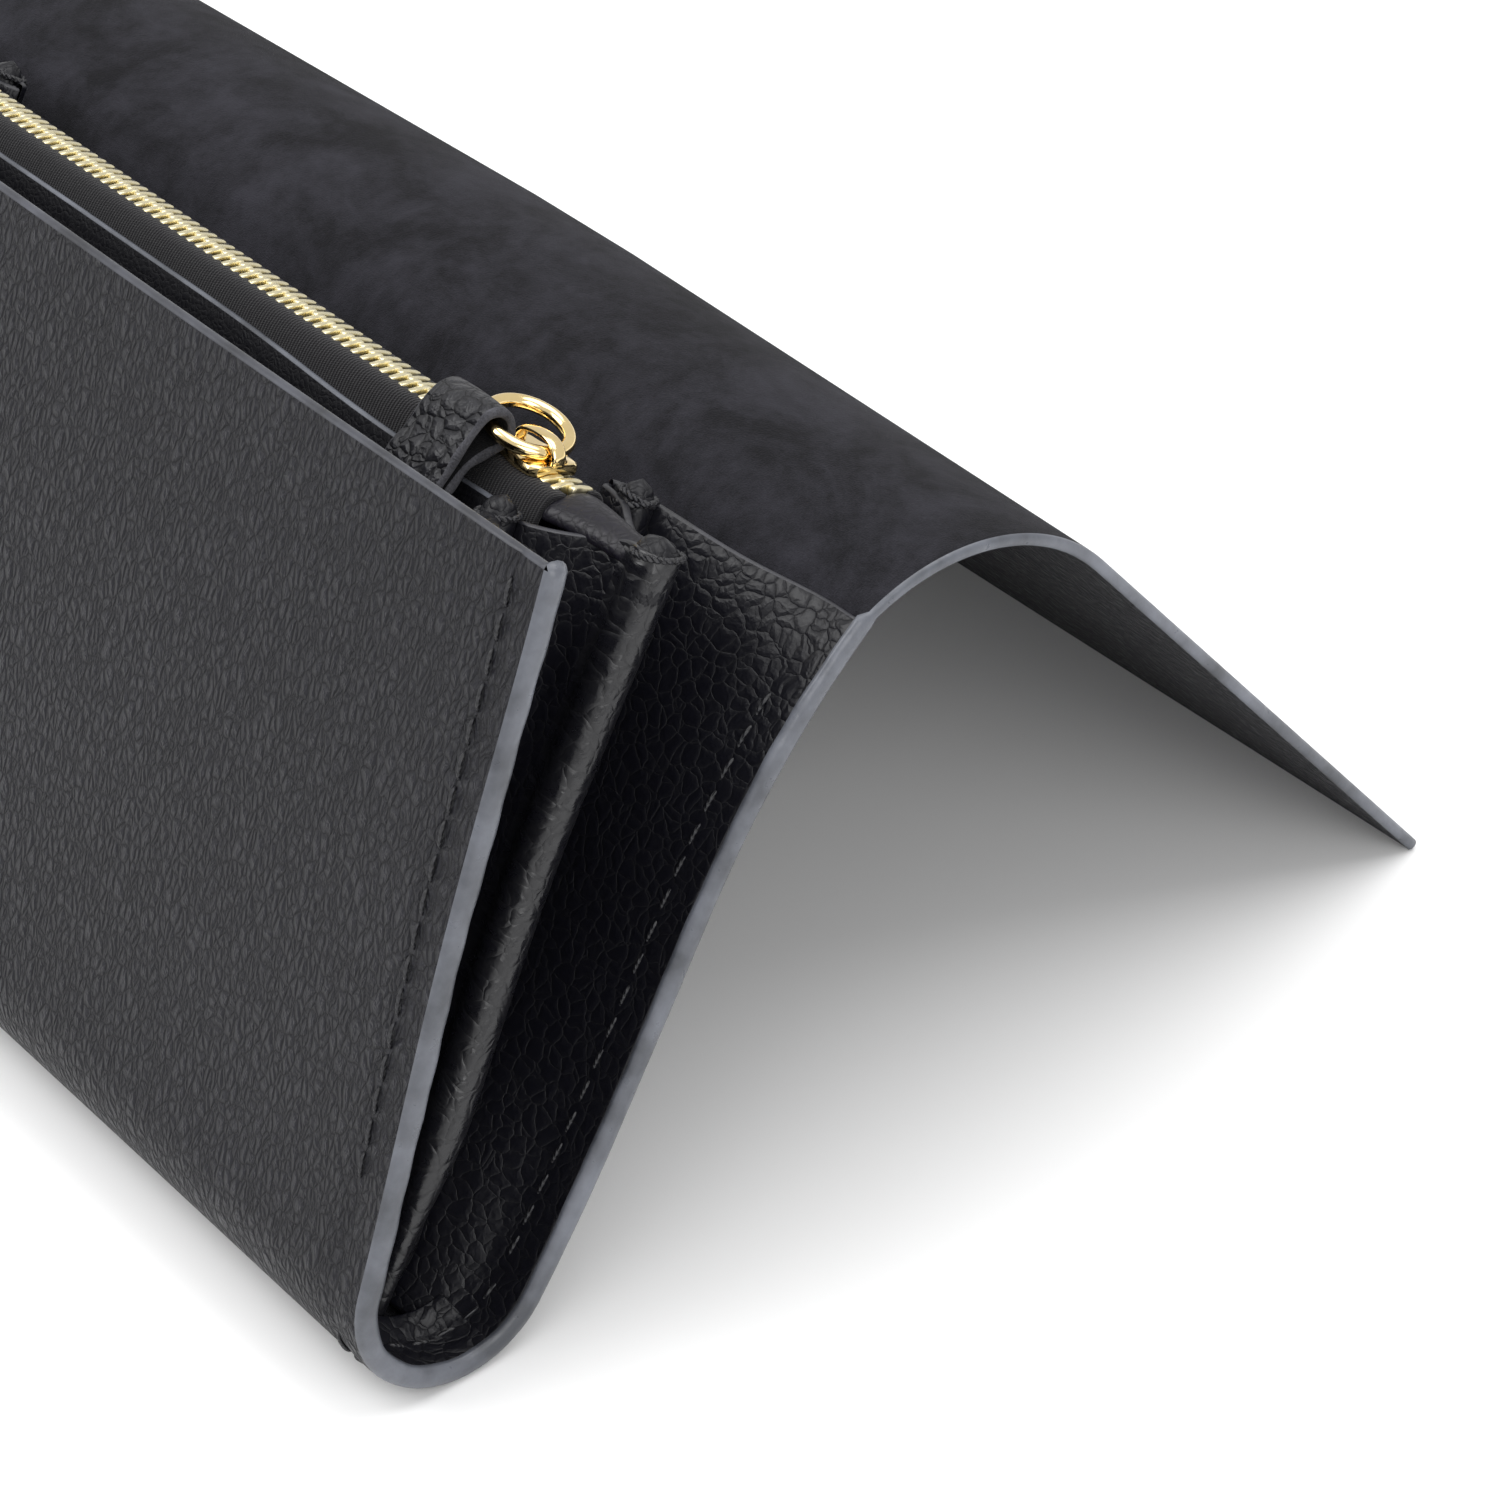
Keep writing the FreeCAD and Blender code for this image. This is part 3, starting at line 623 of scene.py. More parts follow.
def shell_faces(r):
    """Inner faces of the front and the back across the pocket, at a height r up the pocket."""
    if r < -INNER_R + 0.05:
        return 0.0, 0.0
    if r <= FACE_LEVELS[0]:
        half = math.sqrt(max(0.0, INNER_R ** 2 - r ** 2))
        return -half, half
    front = np.interp(r, FACE_LEVELS, FRONT_FACE)
    back = np.interp(r, FACE_LEVELS, BACK_FACE)
    return front, back


def sample_faces():
    """Inner faces of the shell at a set of heights, from the profile itself."""
    front, back = [], []
    for s in np.arange(0.0, S_FLAP, 0.5):
        p = shell_middle(s, 95.0) - shell_normal(s, 95.0) * LEATHER / 2
        n, r = pocket_coordinates(p[0], p[1])
        (front if s < S_BOTTOM + BOTTOM_LENGTH / 2 else back).append((r, n))
    levels = np.arange(-8.0, 90.0, 1.0)
    front.sort()
    back.sort()
    fr = np.interp(levels, [p[0] for p in front], [p[1] for p in front])
    ba = np.interp(levels, [p[0] for p in back], [p[1] for p in back])
    return levels, fr, ba


FACE_LEVELS, FRONT_FACE, BACK_FACE = sample_faces()


def smooth_step(t):
    t = min(1.0, max(0.0, t))
    return t * t * (3 - 2 * t)


def gusset_section(r):
    """Points of the gusset at height r: (x, n) of the front fold, centre roll and rear fold."""
    up = smooth_step((r + 6) / 50.0)
    fold_x = 86.0 + (67.0 - 86.0) * up
    roll_x = 89.5 + (85.5 - 89.5) * smooth_step((r + 6) / 60.0)
    front, back = shell_faces(r)
    front_n = -7.5 * up + front * 0.45 * (1 - up)
    rear_n = 8.5 * up + back * 0.45 * (1 - up)
    return fold_x, roll_x, front_n, rear_n, front, back


def arc_points(points, radius, steps=6):
    """Polyline with its inner corners rounded, in the (x, n) plane."""
    result = [np.array(points[0])]
    for before, corner, after in zip(points, points[1:], points[2:]):
        b, c, a = np.array(before), np.array(corner), np.array(after)
        u = (b - c) / max(1e-6, np.linalg.norm(b - c))
        v = (a - c) / max(1e-6, np.linalg.norm(a - c))
        reach = min(radius, 0.45 * np.linalg.norm(b - c), 0.45 * np.linalg.norm(a - c))
        for k in range(steps + 1):
            t = k / steps
            result.append((1 - t) ** 2 * (c + u * reach) + 2 * t * (1 - t) * c + t ** 2 * (c + v * reach))
    result.append(np.array(points[-1]))
    return result


def resample(points, count):
    pts = np.array(points)
    lengths = np.concatenate([[0], np.cumsum(np.linalg.norm(np.diff(pts, axis=0), axis=1))])
    wanted = np.linspace(0, lengths[-1], count)
    return np.stack([np.interp(wanted, lengths, pts[:, k]) for k in range(2)], axis=1)


def gusset_sheet(name, section, r_low, r_high, top, side, count=44, levels=52, thickness=GUSSET_T, rims=()):
    """Bent sheet whose cross-section at each height comes from section(r); top(x) trims its edge."""
    mid = np.zeros((levels + 1, count, 3))
    for i in range(levels + 1):
        t = i / levels
        base = resample(section(r_low + (r_high - r_low) * t), count)
        for j, (x, n) in enumerate(base):
            r = r_low + (top(x, n) - r_low) * t
            mid[i, j] = (x * side, n, r)
    normals = np.zeros_like(mid)
    du = np.gradient(mid, axis=0)
    dv = np.gradient(mid, axis=1)
    normals = np.cross(du, dv)
    normals /= np.maximum(1e-9, np.linalg.norm(normals, axis=2, keepdims=True))
    outer = mid + normals * thickness / 2
    inner = mid - normals * thickness / 2

    def to_profile(grid):
        return np.array([[pocket(*p) for p in row] for row in grid])

    uv = np.zeros(mid.shape[:2] + (2,))
    uv[..., 0] = mid[..., 0] + mid[..., 1]
    uv[..., 1] = mid[..., 2]
    return thick_sheet(name, to_profile(outer), to_profile(inner), [GUSSET, GUSSET, DARK_EDGE, ROLL], uv,
                       rims, 0.35, {"u0": 0})


WING_EDGE = HALF - 0.9
FLANGE_BEND = 93.5


def front_wing_section(r):
    fold_x, _, front_n, _, front, _ = gusset_section(r)
    face = front + GUSSET_T / 2 + 0.08
    bulge = 0.9 * smooth_step(r / 40)
    line = [(WING_EDGE, face), (FLANGE_BEND, face + 0.1),
            ((FLANGE_BEND + fold_x) / 2, (face + front_n) / 2 - bulge), (fold_x + 0.6, front_n - 1.4),
            (fold_x - 1.2, front_n - 0.9), (fold_x - 1.4, front_n)]
    return arc_points(line, 2.0)


def rear_wing_section(r):
    fold_x, _, _, rear_n, _, back = gusset_section(r)
    face = back - GUSSET_T / 2 - 0.08
    bulge = 0.8 * smooth_step(r / 40)
    line = [(fold_x - 1.4, rear_n), (fold_x - 1.2, rear_n + 0.9), (fold_x + 0.6, rear_n + 1.4),
            ((FLANGE_BEND + fold_x) / 2, (face + rear_n) / 2 + bulge),
            (FLANGE_BEND, face - 0.1), (WING_EDGE, face)]
    return arc_points(line, 2.0)


def pleat_section(r):
    fold_x, roll_x, front_n, rear_n, _, _ = gusset_section(r)
    size = 0.3 + 0.7 * smooth_step((r + 4) / 20)
    half = 2.35 * size
    depth = roll_x - fold_x
    front_half = [(fold_x - 1.4 * size, front_n), (fold_x - 1.2 * size, front_n + 0.9 * size),
                  (fold_x + 0.2 * depth, front_n + 1.5 * size), (roll_x - 0.35 * depth, -0.9 - half * 0.3)]
    rear_half = [(fold_x - 1.4 * size, rear_n), (fold_x - 1.2 * size, rear_n - 0.9 * size),
                 (fold_x + 0.2 * depth, rear_n - 1.5 * size), (roll_x - 0.35 * depth, 0.9 + half * 0.3)]
    roll = []
    for k in range(9):
        a = math.radians(-140 + 35 * k)
        roll.append((roll_x + half * math.cos(a), half * math.sin(a)))
    return arc_points(front_half + roll + rear_half[::-1], 1.4, 4)


def front_top(x, n):
    t = smooth_step((x - 66) / 27)
    return 78.2 * (1 - t) + 81.0 * t - 1.0 * math.sin(math.pi * t)


def rear_top(x, n):
    t = smooth_step((x - 68) / 27)
    return 84.0 * (1 - t) + 83.4 * t - 0.5 * math.sin(math.pi * t)


def pleat_top(x, n):
    reach = smooth_step((x - 66) / 19)
    edge = 78.2 if n < 0 else 83.4
    return edge * (1 - reach) + 82.6 * reach - 0.5 * math.sin(math.pi * reach)


def bottom_flange(side):
    """The gusset's flange along the rounded bottom, with the web that joins the two wings."""
    angles = np.linspace(188, 286, 50)
    rows = [HALF - 0.9, 97.0, 94.4, 93.6, 92.6, 91.2]
    radii = [0.66, 0.66, 0.7, 1.1, 1.7, 2.3]
    mid = np.zeros((len(angles), len(rows), 3))
    for i, angle in enumerate(angles):
        for j, (x, depth) in enumerate(zip(rows, radii)):
            p = BOTTOM + (INNER_R - depth) * unit(angle)
            mid[i, j] = (x * side, p[0], p[1])
    du, dv = np.gradient(mid, axis=0), np.gradient(mid, axis=1)
    normals = np.cross(du, dv)
    normals /= np.maximum(1e-9, np.linalg.norm(normals, axis=2, keepdims=True))
    uv = np.zeros(mid.shape[:2] + (2,))
    uv[..., 0] = mid[..., 0]
    uv[..., 1] = angles[:, None] * 0.2
    return thick_sheet("gusset_bottom_" + SIDE_NAMES[side], mid + normals * 0.45, mid - normals * 0.45,
                       [GUSSET, GUSSET, GUSSET], uv, (), 0.35)


SIDE_NAMES = {1: "right", -1: "left"}
for side in (1, -1):
    label = SIDE_NAMES[side]
    low = -9.6
    wing = gusset_sheet("gusset_front_" + label, front_wing_section, low, 79.0, front_top, side, rims=("v1",))
    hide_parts("gusset_%s_front_wing" % label)
    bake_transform(wing)
    rear = gusset_sheet("gusset_rear_" + label, rear_wing_section, low, 84.0, rear_top, side, rims=("v0",))
    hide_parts("gusset_%s_rear_wing" % label)
    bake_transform(rear)
    pleat = gusset_sheet("gusset_pleat_" + label, pleat_section, low, 83.0, pleat_top, side, count=90,
                         rims=("v0", "v1"))
    for polygon in pleat.data.polygons:
        if abs(polygon.center.x) > 0.0822:
            polygon.material_index = 3
    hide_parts("gusset_%s_centre_pleat" % label)
    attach(pleat, "pocket")
    flange = bottom_flange(side)
    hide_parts("gusset_%s_bottom_flange" % label)
    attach(flange, "shell")


def twisted_thread(points, closed=False, strand=0.25, pitch=1.5):
    """Two strands of thread laid round each other along a path of profile points."""
    pts = [np.array(p, float) for p in points]
    lengths = [0.0]
    for one, two in zip(pts, pts[1:]):
        lengths.append(lengths[-1] + np.linalg.norm(two - one))
    strands = []
    for phase in (0.0, math.pi):
        line = []
        side = np.array([0.3, 0.5, 0.81])
        for i, p in enumerate(pts):
            t = pts[min(i + 1, len(pts) - 1)] - pts[max(i - 1, 0)]
            t = t / np.linalg.norm(t)
            side = side - t * np.dot(side, t)
            side = side / np.linalg.norm(side)
            up = np.cross(t, side)
            a = phase + 2 * math.pi * lengths[i] / pitch
            line.append(p + strand * 0.8 * (side * math.cos(a) + up * math.sin(a)))
        strands.append(tube("strand", line, strand, [THREAD], 7, closed=closed))
    return strands


def fold_roll(x, n, r_low, r_top, radius, side):
    """Rolled top of a gusset fold: a soft tube with a closed, rounded end."""
    points, taper = [], []
    for k in range(25):
        t = k / 24
        r = r_low + (r_top - r_low) * t
        wobble = 0.18 * math.sin(9 * t + x)
        points.append(pocket(side * (x + wobble), n + 0.15 * math.sin(11 * t), r))
        end = math.sqrt(max(0.0, 1 - max(0.0, (t - 0.80) / 0.20) ** 2))
        taper.append(max(0.04, (0.45 + 0.55 * smooth_step(t * 1.6)) * (0.35 + 0.65 * end) * end ** 0.3))
    return tube("roll", points, radius, [GUSSET], 18, taper=taper)


def thread_loop(x, n, r, radius, side, tilt):
    """Binding thread once round a rolled fold."""
    points = []
    for k in range(73):
        a = 2 * math.pi * k / 72
        points.append(pocket(side * (x + radius * math.cos(a)), n + radius * math.sin(a),
                             r + tilt * math.sin(a + 0.6)))
    return twisted_thread(points)


for side in (1, -1):
    label = SIDE_NAMES[side]
    rolls = [fold_roll(68.3, -8.2, 62, 81.0, 2.3, side), fold_roll(69.6, 9.2, 66, 86.2, 2.2, side),
             fold_roll(85.5, 0.0, 70, 84.6, 2.75, side)]
    obj = joined("gusset_rolled_folds_" + label, rolls)
    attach(obj, "pocket")
    threads = []
    for x, n, r, radius, tilt in ((68.3, -8.2, 78.6, 2.3, 0.6), (69.6, 9.2, 83.6, 2.25, 0.7),
                                  (69.6, 9.2, 84.1, 2.1, -0.3), (85.5, 0.0, 82.6, 2.75, 0.6)):
        threads += thread_loop(x, n, r, radius, side, tilt)
    obj = joined("gusset_binding_thread_" + label, threads)
    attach(obj, "pocket")
    edge = resample(front_wing_section(79.0), 60)
    hem, taper = [], []
    for k, (x, n) in enumerate(edge[8:54]):
        hem.append(pocket(side * x, n, front_top(x, n) - 0.9 + 0.1 * math.sin(k * 0.9)))
        taper.append(0.62 + 0.38 * smooth_step(k / 40))
    obj = tube("gusset_front_hem_" + label, hem, 1.5, [GUSSET], 16, taper=taper)
    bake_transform(obj)

# ---- zip pocket -------------------------------------------------------------------------------------

POCKET_END = 66.0


def wall_profile(sign):
    """Middle line of one pocket wall from its top to the bottom fold's middle, as (n, r)."""
    line = [(sign * 5.15, r) for r in np.linspace(79.0, -2.0, 42)]
    for k in range(1, 9):
        a = math.radians(90.0 * k / 8)
        line.append((sign * 5.15 * math.cos(a), -2.0 - 5.15 * math.sin(a)))
    return line


def pocket_wall(sign, name, nodes):
    line = wall_profile(sign)
    lengths = np.linspace(-POCKET_END, POCKET_END, 67)
    outer = np.zeros((len(line), len(lengths), 3))
    inner = np.zeros_like(outer)
    uv = np.zeros(outer.shape[:2] + (2,))
    for i, (n, r) in enumerate(line):
        before, after = line[max(0, i - 1)], line[min(len(line) - 1, i + 1)]
        tn, tr = after[0] - before[0], after[1] - before[1]
        size = math.hypot(tn, tr)
        on, orr = -tr / size * sign, tn / size * sign
        for j, x in enumerate(lengths):
            lift = smooth_step(r / 70)
            wave = lift * (0.35 * math.sin(x * 0.055 + 0.8) + 0.15 * math.sin(x * 0.16))
            sag = lift * 0.9 * math.exp(-((x - 42) / 22) ** 2)
            m = (n - sign * 0.2 * lift + wave * 0.5, r - sag)
            outer[i, j] = pocket(x, m[0] + on * 0.5, m[1] + orr * 0.5)
            inner[i, j] = pocket(x, m[0] - on * 0.5, m[1] - orr * 0.5)
            uv[i, j] = (x, r)
    obj = thick_sheet(name, outer, inner, [POCKET, LINING, EDGE], uv, ("u1",), 0.4)
    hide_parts(*nodes)
    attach(obj, "pocket")
    return obj


pocket_wall(-1, "pocket_wall_front", ["pocket_front_wall", "pocket_bottom_fold"])
pocket_wall(1, "pocket_wall_rear", ["pocket_rear_wall"])

# ---- zip --------------------------------------------------------------------------------------------

TAPE_END = 70.4


def tape(sign, name, node):
    """Zip tape: a bead beside the teeth, then over the shoulder and down inside the pocket."""
    c, s = unit(CHAIN_TILT)
    bead = sign * 1.7
    shoulder = 81.3 if sign < 0 else 82.0
    line = [(bead * c, CHAIN_R + bead * s - 0.1), (sign * 2.6 * c, CHAIN_R + sign * 2.6 * s - 0.25),
            (sign * 3.6, (CHAIN_R + shoulder) / 2 + sign * 0.2), (sign * 4.15, shoulder - 0.5),
            (sign * 4.3, shoulder - 2.0), (sign * 4.3, 70.0)]
    fine = resample(arc_points(line, 1.0, 5), 40)
    lengths = np.linspace(-TAPE_END, TAPE_END, 142)
    outer = np.zeros((len(fine), len(lengths), 3))
    inner = np.zeros_like(outer)
    uv = np.zeros(outer.shape[:2] + (2,))
    for i, (n, r) in enumerate(fine):
        before, after = fine[max(0, i - 1)], fine[min(len(fine) - 1, i + 1)]
        tn, tr = after[0] - before[0], after[1] - before[1]
        size = math.hypot(tn, tr)
        on, orr = -tr / size * sign, tn / size * sign
        for j, x in enumerate(lengths):
            bump = 0.35 * math.exp(-((i - 3) / 3.0) ** 2)
            outer[i, j] = pocket(x, n + on * (0.25 + bump), r + orr * (0.25 + bump))
            inner[i, j] = pocket(x, n - on * 0.25, r - orr * 0.25)
            uv[i, j] = (x, r)
    obj = thick_sheet(name, outer, inner, [TAPE, TAPE, TAPE], uv, (), 0.3)
    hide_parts(node)
    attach(obj, "pocket")
    return obj


tape(-1, "zip_tape_front_cloth", "zip_tape_front")
tape(1, "zip_tape_rear_cloth", "zip_tape_rear")

TEETH_COUNT = 70
TOOTH_PITCH = 2.0


def tooth(x, sign):
    """One tooth: a clamp round the tape's bead, a neck, and a head that reaches past the middle."""
    outline = [(-0.42, 2.45), (0.42, 2.45), (0.46, 1.9), (0.40, 1.1), (0.34, 0.5), (0.47, 0.1), (0.50, -0.25),
               (0.38, -0.55), (-0.38, -0.55), (-0.50, -0.25), (-0.47, 0.1), (-0.34, 0.5), (-0.40, 1.1),
               (-0.46, 1.9)]
    heights = [(-0.75, 0.72), (-0.55, 1.0), (0.5, 1.0), (0.78, 0.66)]
    sections = []
    for m, scale in heights:
        ring = []
        for dx, a in outline:
            drop = 0.25 * smooth_step((a - 1.0) / 1.4)
            mm = m - drop if m > 0 else m + drop
            across = sign * (0.95 + (a - 0.95) * (0.8 + 0.2 * scale))
            ring.append(chain(x + dx * (0.55 + 0.45 * scale), across, mm))
        sections.append(ring)
    return sections


def teeth_row(sign, name, node, first):
    vertices, faces = [], []
    for i in range(TEETH_COUNT):
        sections = tooth(first + i * TOOTH_PITCH, sign)
        count = len(sections[0])
        base = len(vertices)
        vertices += [p for ring in sections for p in ring]
        faces.append(tuple(base + k for k in range(count))[::-1])
        for k in range(len(sections) - 1):
            for a in range(count):
                b = (a + 1) % count
                faces.append((base + k * count + a, base + k * count + b,
                              base + (k + 1) * count + b, base + (k + 1) * count + a))
        last = base + (len(sections) - 1) * count
        faces.append(tuple(range(last, last + count)))
    obj = new_object(name, to_row(vertices), faces, [TEETH])
    bm_fix_normals(obj)
    add_bevel(obj, 0.09, 2, 30)
    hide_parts(node)
    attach(obj, "pocket")
    return obj


FIRST_TOOTH = -TEETH_COUNT * TOOTH_PITCH / 2 + TOOTH_PITCH / 4
teeth_row(-1, "zip_teeth_front_row", "zip_teeth_front", FIRST_TOOTH)
teeth_row(1, "zip_teeth_rear_row", "zip_teeth_rear", FIRST_TOOTH + TOOTH_PITCH / 2)


def end_tab(side):
    """Folded leather tab over the zip's end, narrowing towards the centre pleat."""
    rows, columns = 18, 14
    outer = np.zeros((rows + 1, columns + 1, 3))
    inner = np.zeros_like(outer)
    uv = np.zeros(outer.shape[:2] + (2,))
    for i in range(rows + 1):
        t = i / rows
        x = 70.6 + 12.0 * t
        half = 3.3 * (1 - t) + 1.4 * t
        for j in range(columns + 1):
            u = -1 + 2 * j / columns
            n = half * u
            crown = (1 - u * u) * (1.0 - 0.3 * t) + 0.25 * math.sin(math.pi * t)
            r = 81.9 + crown + 0.5 * u * (1 - t)
            lift = 0.25 * math.sin(5 * t + 2 * u)
            outer[i, j] = pocket(side * x, n, r + 0.5 + lift * 0.3)
            inner[i, j] = pocket(side * x, n, r - 0.5 - 1.2 * abs(u) ** 3)
            uv[i, j] = (x, n)
    label = SIDE_NAMES[side]
    obj = thick_sheet("zip_end_" + label, outer, inner, [SMOOTH, SMOOTH, SMOOTH], uv, (), 0.5)
    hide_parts("zip_end_tab_" + label)
    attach(obj, "pocket")


end_tab(1)
end_tab(-1)

# ---- slider, ring and pull --------------------------------------------------------------------------

def slider_piece(name, outline, levels, node, bevel):
    sections = [[chain(x, a * scale, m) for x, a in outline] for m, scale in levels]
    obj = solid_block(name, sections, [GOLD], bevel, 4, 30)
    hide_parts(node)
    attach(obj, "slider")
    return obj


def slider_outline():
    """Shield shape: wide shoulders at the open end and a narrower tail."""
    points = []
    left, right = 56.0, 66.5
    for k in range(21):
        t = k / 20
        x = left + (right - left) * t
        half = 2.75 + 0.75 * smooth_step((t - 0.25) / 0.4)
        half *= math.sqrt(max(0.0, 1 - ((t - 0.5) / 0.5) ** 8))
        points.append((x, half))
    upper = [(x, a) for x, a in points if a > 0.2]
    return upper + [(x, -a) for x, a in upper[::-1]]


outline = slider_outline()
slider_piece("slider_top_plate", outline, [(0.45, 1.0), (1.0, 1.04), (1.55, 0.98), (1.75, 0.86)],
             "zip_slider_upper_wing", 0.12)
slider_piece("slider_lower_plate", outline, [(-1.7, 0.8), (-1.45, 0.9), (-0.9, 0.9)],
             "zip_slider_lower_wing", 0.1)


def bail():
    """Bridge on the slider that holds the ring."""
    points, widths = [], []
    line = [(58.4, 1.55), (58.3, 2.6), (59.3, 3.7), (61.4, 4.15), (63.8, 4.15), (65.3, 3.6), (65.9, 2.5),
            (65.8, 1.5)]
    fine = resample(arc_points(line, 1.0, 5), 48)
    rings = []
    for i, (x, m) in enumerate(fine):
        before, after = fine[max(0, i - 1)], fine[min(len(fine) - 1, i + 1)]
        tx, tm = after[0] - before[0], after[1] - before[1]
        size = math.hypot(tx, tm)
        nx, nm = -tm / size, tx / size
        ring = []
        for k in range(14):
            a = 2 * math.pi * k / 14
            w = 0.95 * math.copysign(abs(math.cos(a)) ** 0.7, math.cos(a))
            h = 0.38 * math.copysign(abs(math.sin(a)) ** 0.8, math.sin(a))
            ring.append(chain(x + nx * h, w, m + nm * h))
        rings.append(ring)
    vertices = [p for ring in rings for p in ring]
    faces = []
    for i in range(len(rings) - 1):
        for k in range(14):
            faces.append((i * 14 + k, i * 14 + (k + 1) % 14, (i + 1) * 14 + (k + 1) % 14, (i + 1) * 14 + k))
    faces.append(tuple(range(14))[::-1])
    faces.append(tuple(range((len(rings) - 1) * 14, len(rings) * 14)))
    obj = new_object("slider_bridge", to_row(vertices), faces, [GOLD])
    bm_fix_normals(obj)
    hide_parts("zip_slider_bail")
    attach(obj, "slider")


bail()

RING_MAJOR = 5.0
RING_TILT = 15.0
RING_X = 64.4 - RING_MAJOR * math.cos(math.radians(RING_TILT))
RING_M = 2.5 + RING_MAJOR * math.sin(math.radians(RING_TILT))


def ring():
    points = []
    c, s = math.cos(math.radians(RING_TILT)), math.sin(math.radians(RING_TILT))
    for k in range(64):
        a = 2 * math.pi * k / 64
        d, across = (RING_MAJOR - 0.15) * math.cos(a), (RING_MAJOR - 0.15) * math.sin(a)
        points.append(chain(RING_X + d * c, across, RING_M - d * s))
    obj = tube("gold_ring", points, 0.84, [GOLD], 20, closed=True)
    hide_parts("pull_ring")
    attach(obj, "ring")


ring()


def leather_pull():
    """Strip folded over the ring, its two layers pressed together, hanging into the front compartment."""
    tilt_cos, tilt_sin = math.cos(math.radians(CHAIN_TILT)), math.sin(math.radians(CHAIN_TILT))
    loop_n = -RING_MAJOR * tilt_cos - RING_M * tilt_sin
    loop_r = CHAIN_R - RING_MAJOR * tilt_sin + RING_M * tilt_cos
    path = [(loop_n + dn, loop_r + dr) for dn, dr in
            [(2.6, -0.2), (1.9, 1.6), (0.2, 2.25), (-1.5, 1.5), (-2.5, -0.8), (-3.9, -5.0), (-5.3, -9.6),
             (-6.6, -15.6), (-7.1, -22.0)]]
    front = resample(arc_points(path, 2.2, 6), 60)
    back_path = [(loop_n + dn, loop_r + dr) for dn, dr in
                 [(2.6, -0.2), (2.1, -1.6), (0.4, -2.6), (-1.2, -4.4), (-2.7, -7.0), (-4.0, -10.2),
                  (-5.3, -15.6), (-5.8, -22.0)]]
    back = resample(arc_points(back_path, 1.6, 6), 60)
    for name, line, flip in (("pull_front_layer", front, -1), ("pull_back_layer", back, 1)):
        widths = 13
        outer = np.zeros((len(line), widths, 3))
        inner = np.zeros_like(outer)
        uv = np.zeros(outer.shape[:2] + (2,))
        for i, (n, r) in enumerate(line):
            before, after = line[max(0, i - 1)], line[min(len(line) - 1, i + 1)]
            tn, tr = after[0] - before[0], after[1] - before[1]
            size = math.hypot(tn, tr)
            on, orr = -tr / size * flip, tn / size * flip
            for j in range(widths):
                u = j / (widths - 1)
                x = 50.4 + 9.4 * u + 0.35 * math.sin(i * 0.25 + 1) * (u - 0.5)
                puff = 0.30 * math.sin(math.pi * u) + 0.16 * math.sin(i * 0.5 + 3 * u)
                outer[i, j] = pocket(x, n + on * (0.62 + puff), r + orr * (0.62 + puff))
                inner[i, j] = pocket(x, n - on * 0.55, r - orr * 0.55)
                uv[i, j] = (x, i)
        obj = thick_sheet(name, outer, inner, [PULL, LINING, RAW], uv, ("u0",), 0.3)
        if flip == -1:
            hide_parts("leather_pull")
        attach(obj, "pull")


leather_pull()

# ---- stitching --------------------------------------------------------------------------------------

STITCH_PITCH = 4.0


def stitch_rows(s_low, s_high, side, body, node, name):
    """Row of saddle stitches through the outer leather and the gusset's flange, seen on both faces."""
    pieces = []
    count = int((s_high - s_low) / STITCH_PITCH)
    for i in range(2 * count):
        face = 1 if i % 2 == 0 else -1
        depth = LEATHER / 2 if face == 1 else LEATHER / 2 + GUSSET_T + 0.15
        points, taper = [], []
        for k in range(9):
            t = k / 8
            s = s_low + (i // 2) * STITCH_PITCH + 3.1 * t
            x = side * (95.0 + 0.25 * (t - 0.5))
            middle = shell_middle(s, x)
            normal = shell_normal(s, x)
            proud = 0.12 if face == 1 else 0.0
            lift = depth + proud - 0.35 * (abs(2 * t - 1) ** 4)
            p = middle + normal * face * lift
            points.append((x, p[0], p[1]))
            taper.append(0.55 + 0.45 * math.sin(math.pi * t) ** 0.5)
        pieces.append(tube("stitch", points, 0.26, [THREAD], 8, taper=taper))
    obj = joined(name, pieces)
    if node:
        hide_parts(node)
    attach(obj, body)


for side in (1, -1):
    label = SIDE_NAMES[side]
    stitch_rows(3.0, S_BOTTOM - 8, side, "front", "stitches_front_" + label, "thread_front_" + label)
    stitch_rows(S_BOTTOM + 8, S_BACK + 1, side, "shell", "", "thread_bottom_" + label)
    stitch_rows(S_BACK + 2, S_FLAP - 9, side, "shell", "stitches_back_" + label, "thread_back_" + label)


# ---- floor, light and camera --------------------------------------------------------------------------

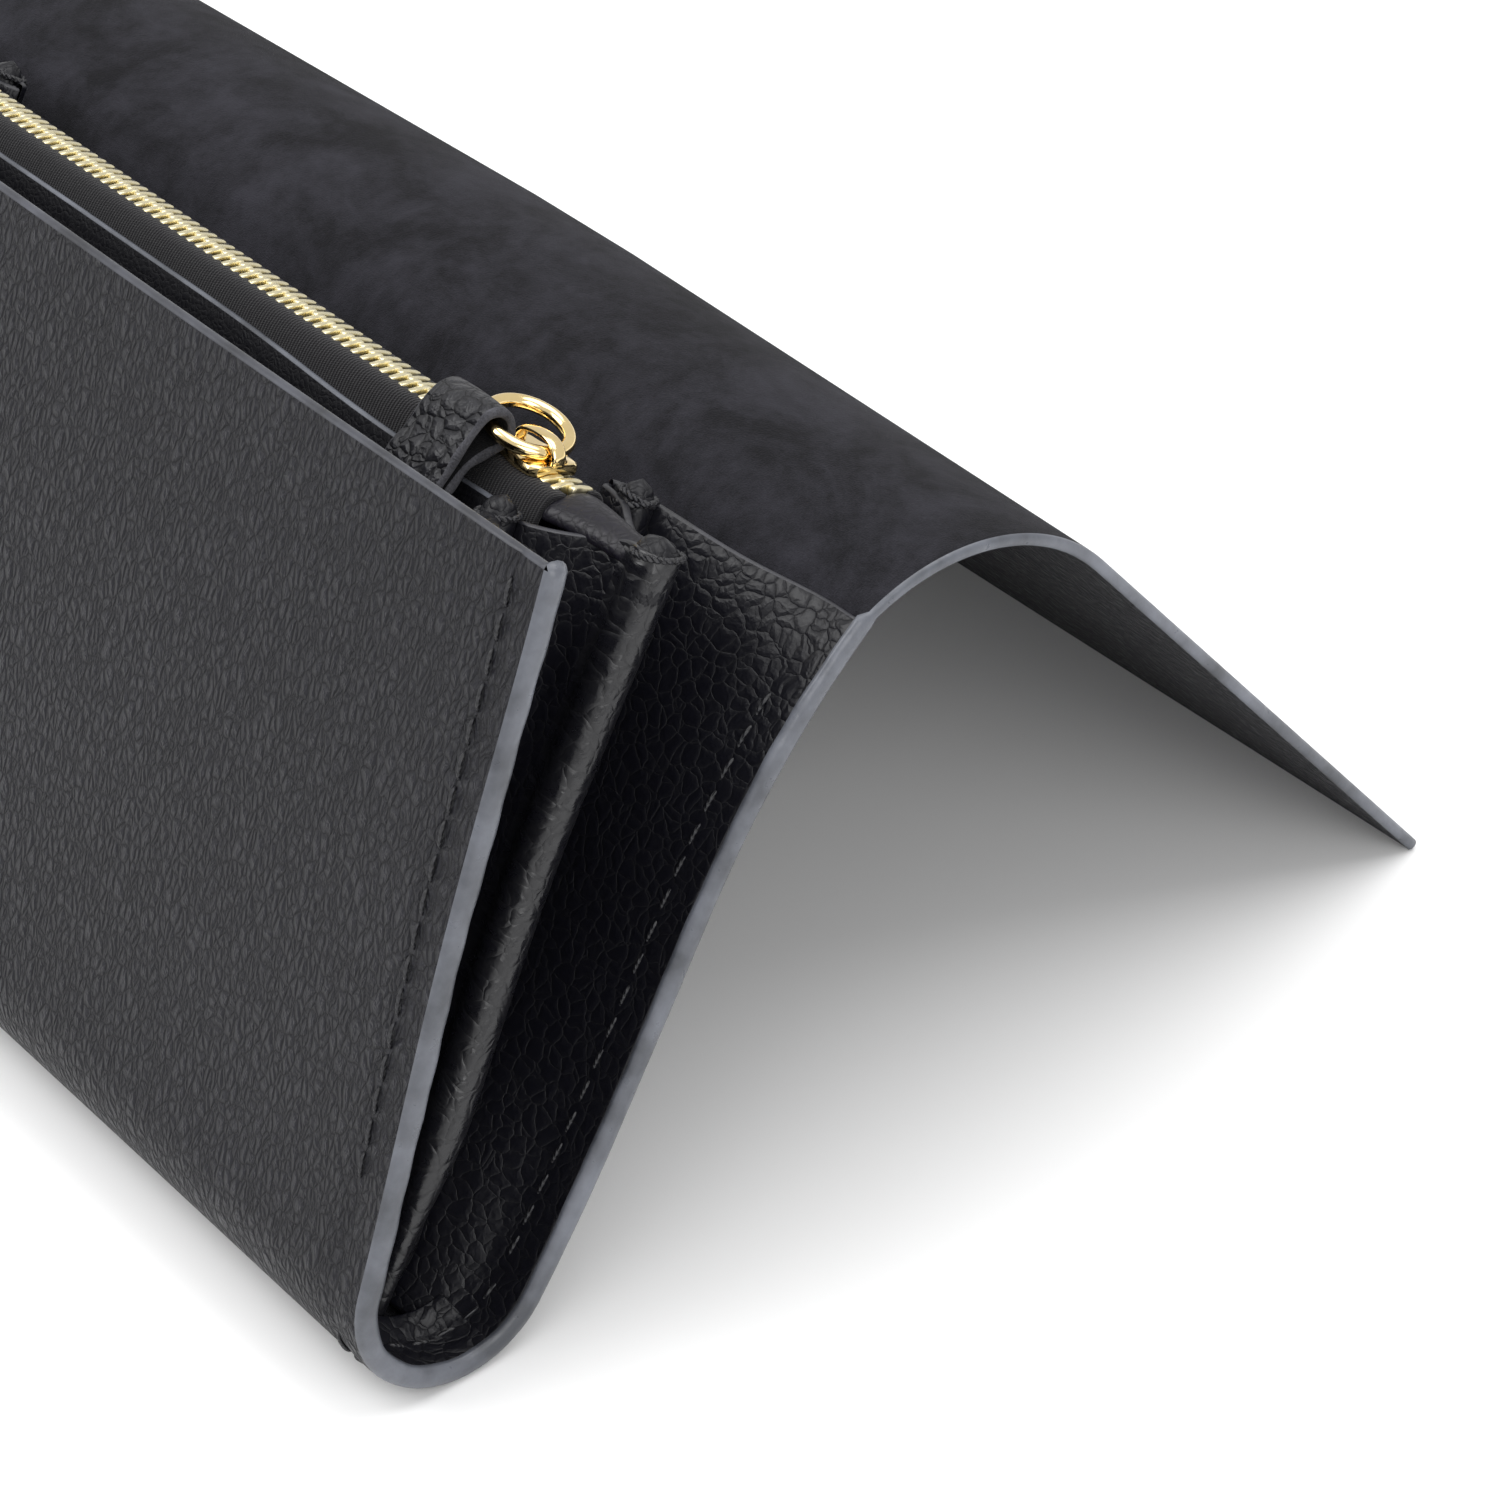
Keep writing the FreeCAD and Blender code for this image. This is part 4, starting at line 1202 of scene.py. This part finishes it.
def floor():
    nodes = Nodes("pale_floor")
    nodes.set("Base Color", (0.9, 0.9, 0.9, 1))
    nodes.set("Roughness", 0.7)
    size, steps = 1.6, 16
    grid = np.linspace(-size, size, steps + 1)
    vertices = [(x, y, -0.0002) for x in grid for y in grid]
    faces = []
    for i in range(steps):
        for j in range(steps):
            a = i * (steps + 1) + j
            faces.append((a, a + steps + 1, a + steps + 2, a + 1))
    obj = new_object("floor", vertices, faces, [nodes.material])


floor()

world = bpy.data.worlds.new("studio")
world.use_nodes = True
world.node_tree.nodes["Background"].inputs["Color"].default_value = (1.0, 1.0, 1.0, 1)
world.node_tree.nodes["Background"].inputs["Strength"].default_value = 0.75
bpy.context.scene.world = world
bpy.context.scene.view_settings.view_transform = "Standard"


def area_light(name, location, target, size, power):
    data = bpy.data.lights.new(name, "AREA")
    data.shape = "RECTANGLE"
    data.size, data.size_y = size
    data.energy = power
    obj = bpy.data.objects.new(name, data)
    obj.location = location
    direction = Vector(target) - Vector(location)
    obj.rotation_mode = "QUATERNION"
    obj.rotation_quaternion = direction.to_track_quat("-Z", "Y")
    bpy.context.scene.collection.objects.link(obj)


area_light("key", (-0.25, -0.45, 0.75), (0, -0.02, 0.03), (0.6, 0.6), 4.5)
area_light("side", (0.75, -0.15, 0.45), (0.05, -0.02, 0.04), (0.5, 0.5), 2.5)
area_light("top", (0.1, 0.3, 0.9), (0, 0, 0.05), (0.9, 0.7), 5.0)

CAMERA_FROM = place(456.97, -202.43, 373.98)
CAMERA_LENS = 117.8
CAMERA_AZIMUTH = 55.28
CAMERA_ELEVATION = 35.50
CAMERA_ROLL = 4.67
camera_data = bpy.data.cameras.new("camera")
camera_data.sensor_width = 36.0
camera_data.lens = CAMERA_LENS
camera_data.clip_start = 0.02
camera_data.clip_end = 20
camera = bpy.data.objects.new("camera", camera_data)
bpy.context.scene.collection.objects.link(camera)
a, e = math.radians(CAMERA_AZIMUTH), math.radians(CAMERA_ELEVATION)
forward = Vector((-math.sin(a) * math.cos(e), math.cos(a) * math.cos(e), -math.sin(e)))
camera.rotation_mode = "QUATERNION"
level = forward.to_track_quat("-Z", "Y")
roll = Matrix.Rotation(math.radians(-CAMERA_ROLL), 3, "Z").to_quaternion()
camera.rotation_quaternion = level @ roll
camera.location = CAMERA_FROM
bpy.context.scene.camera = camera
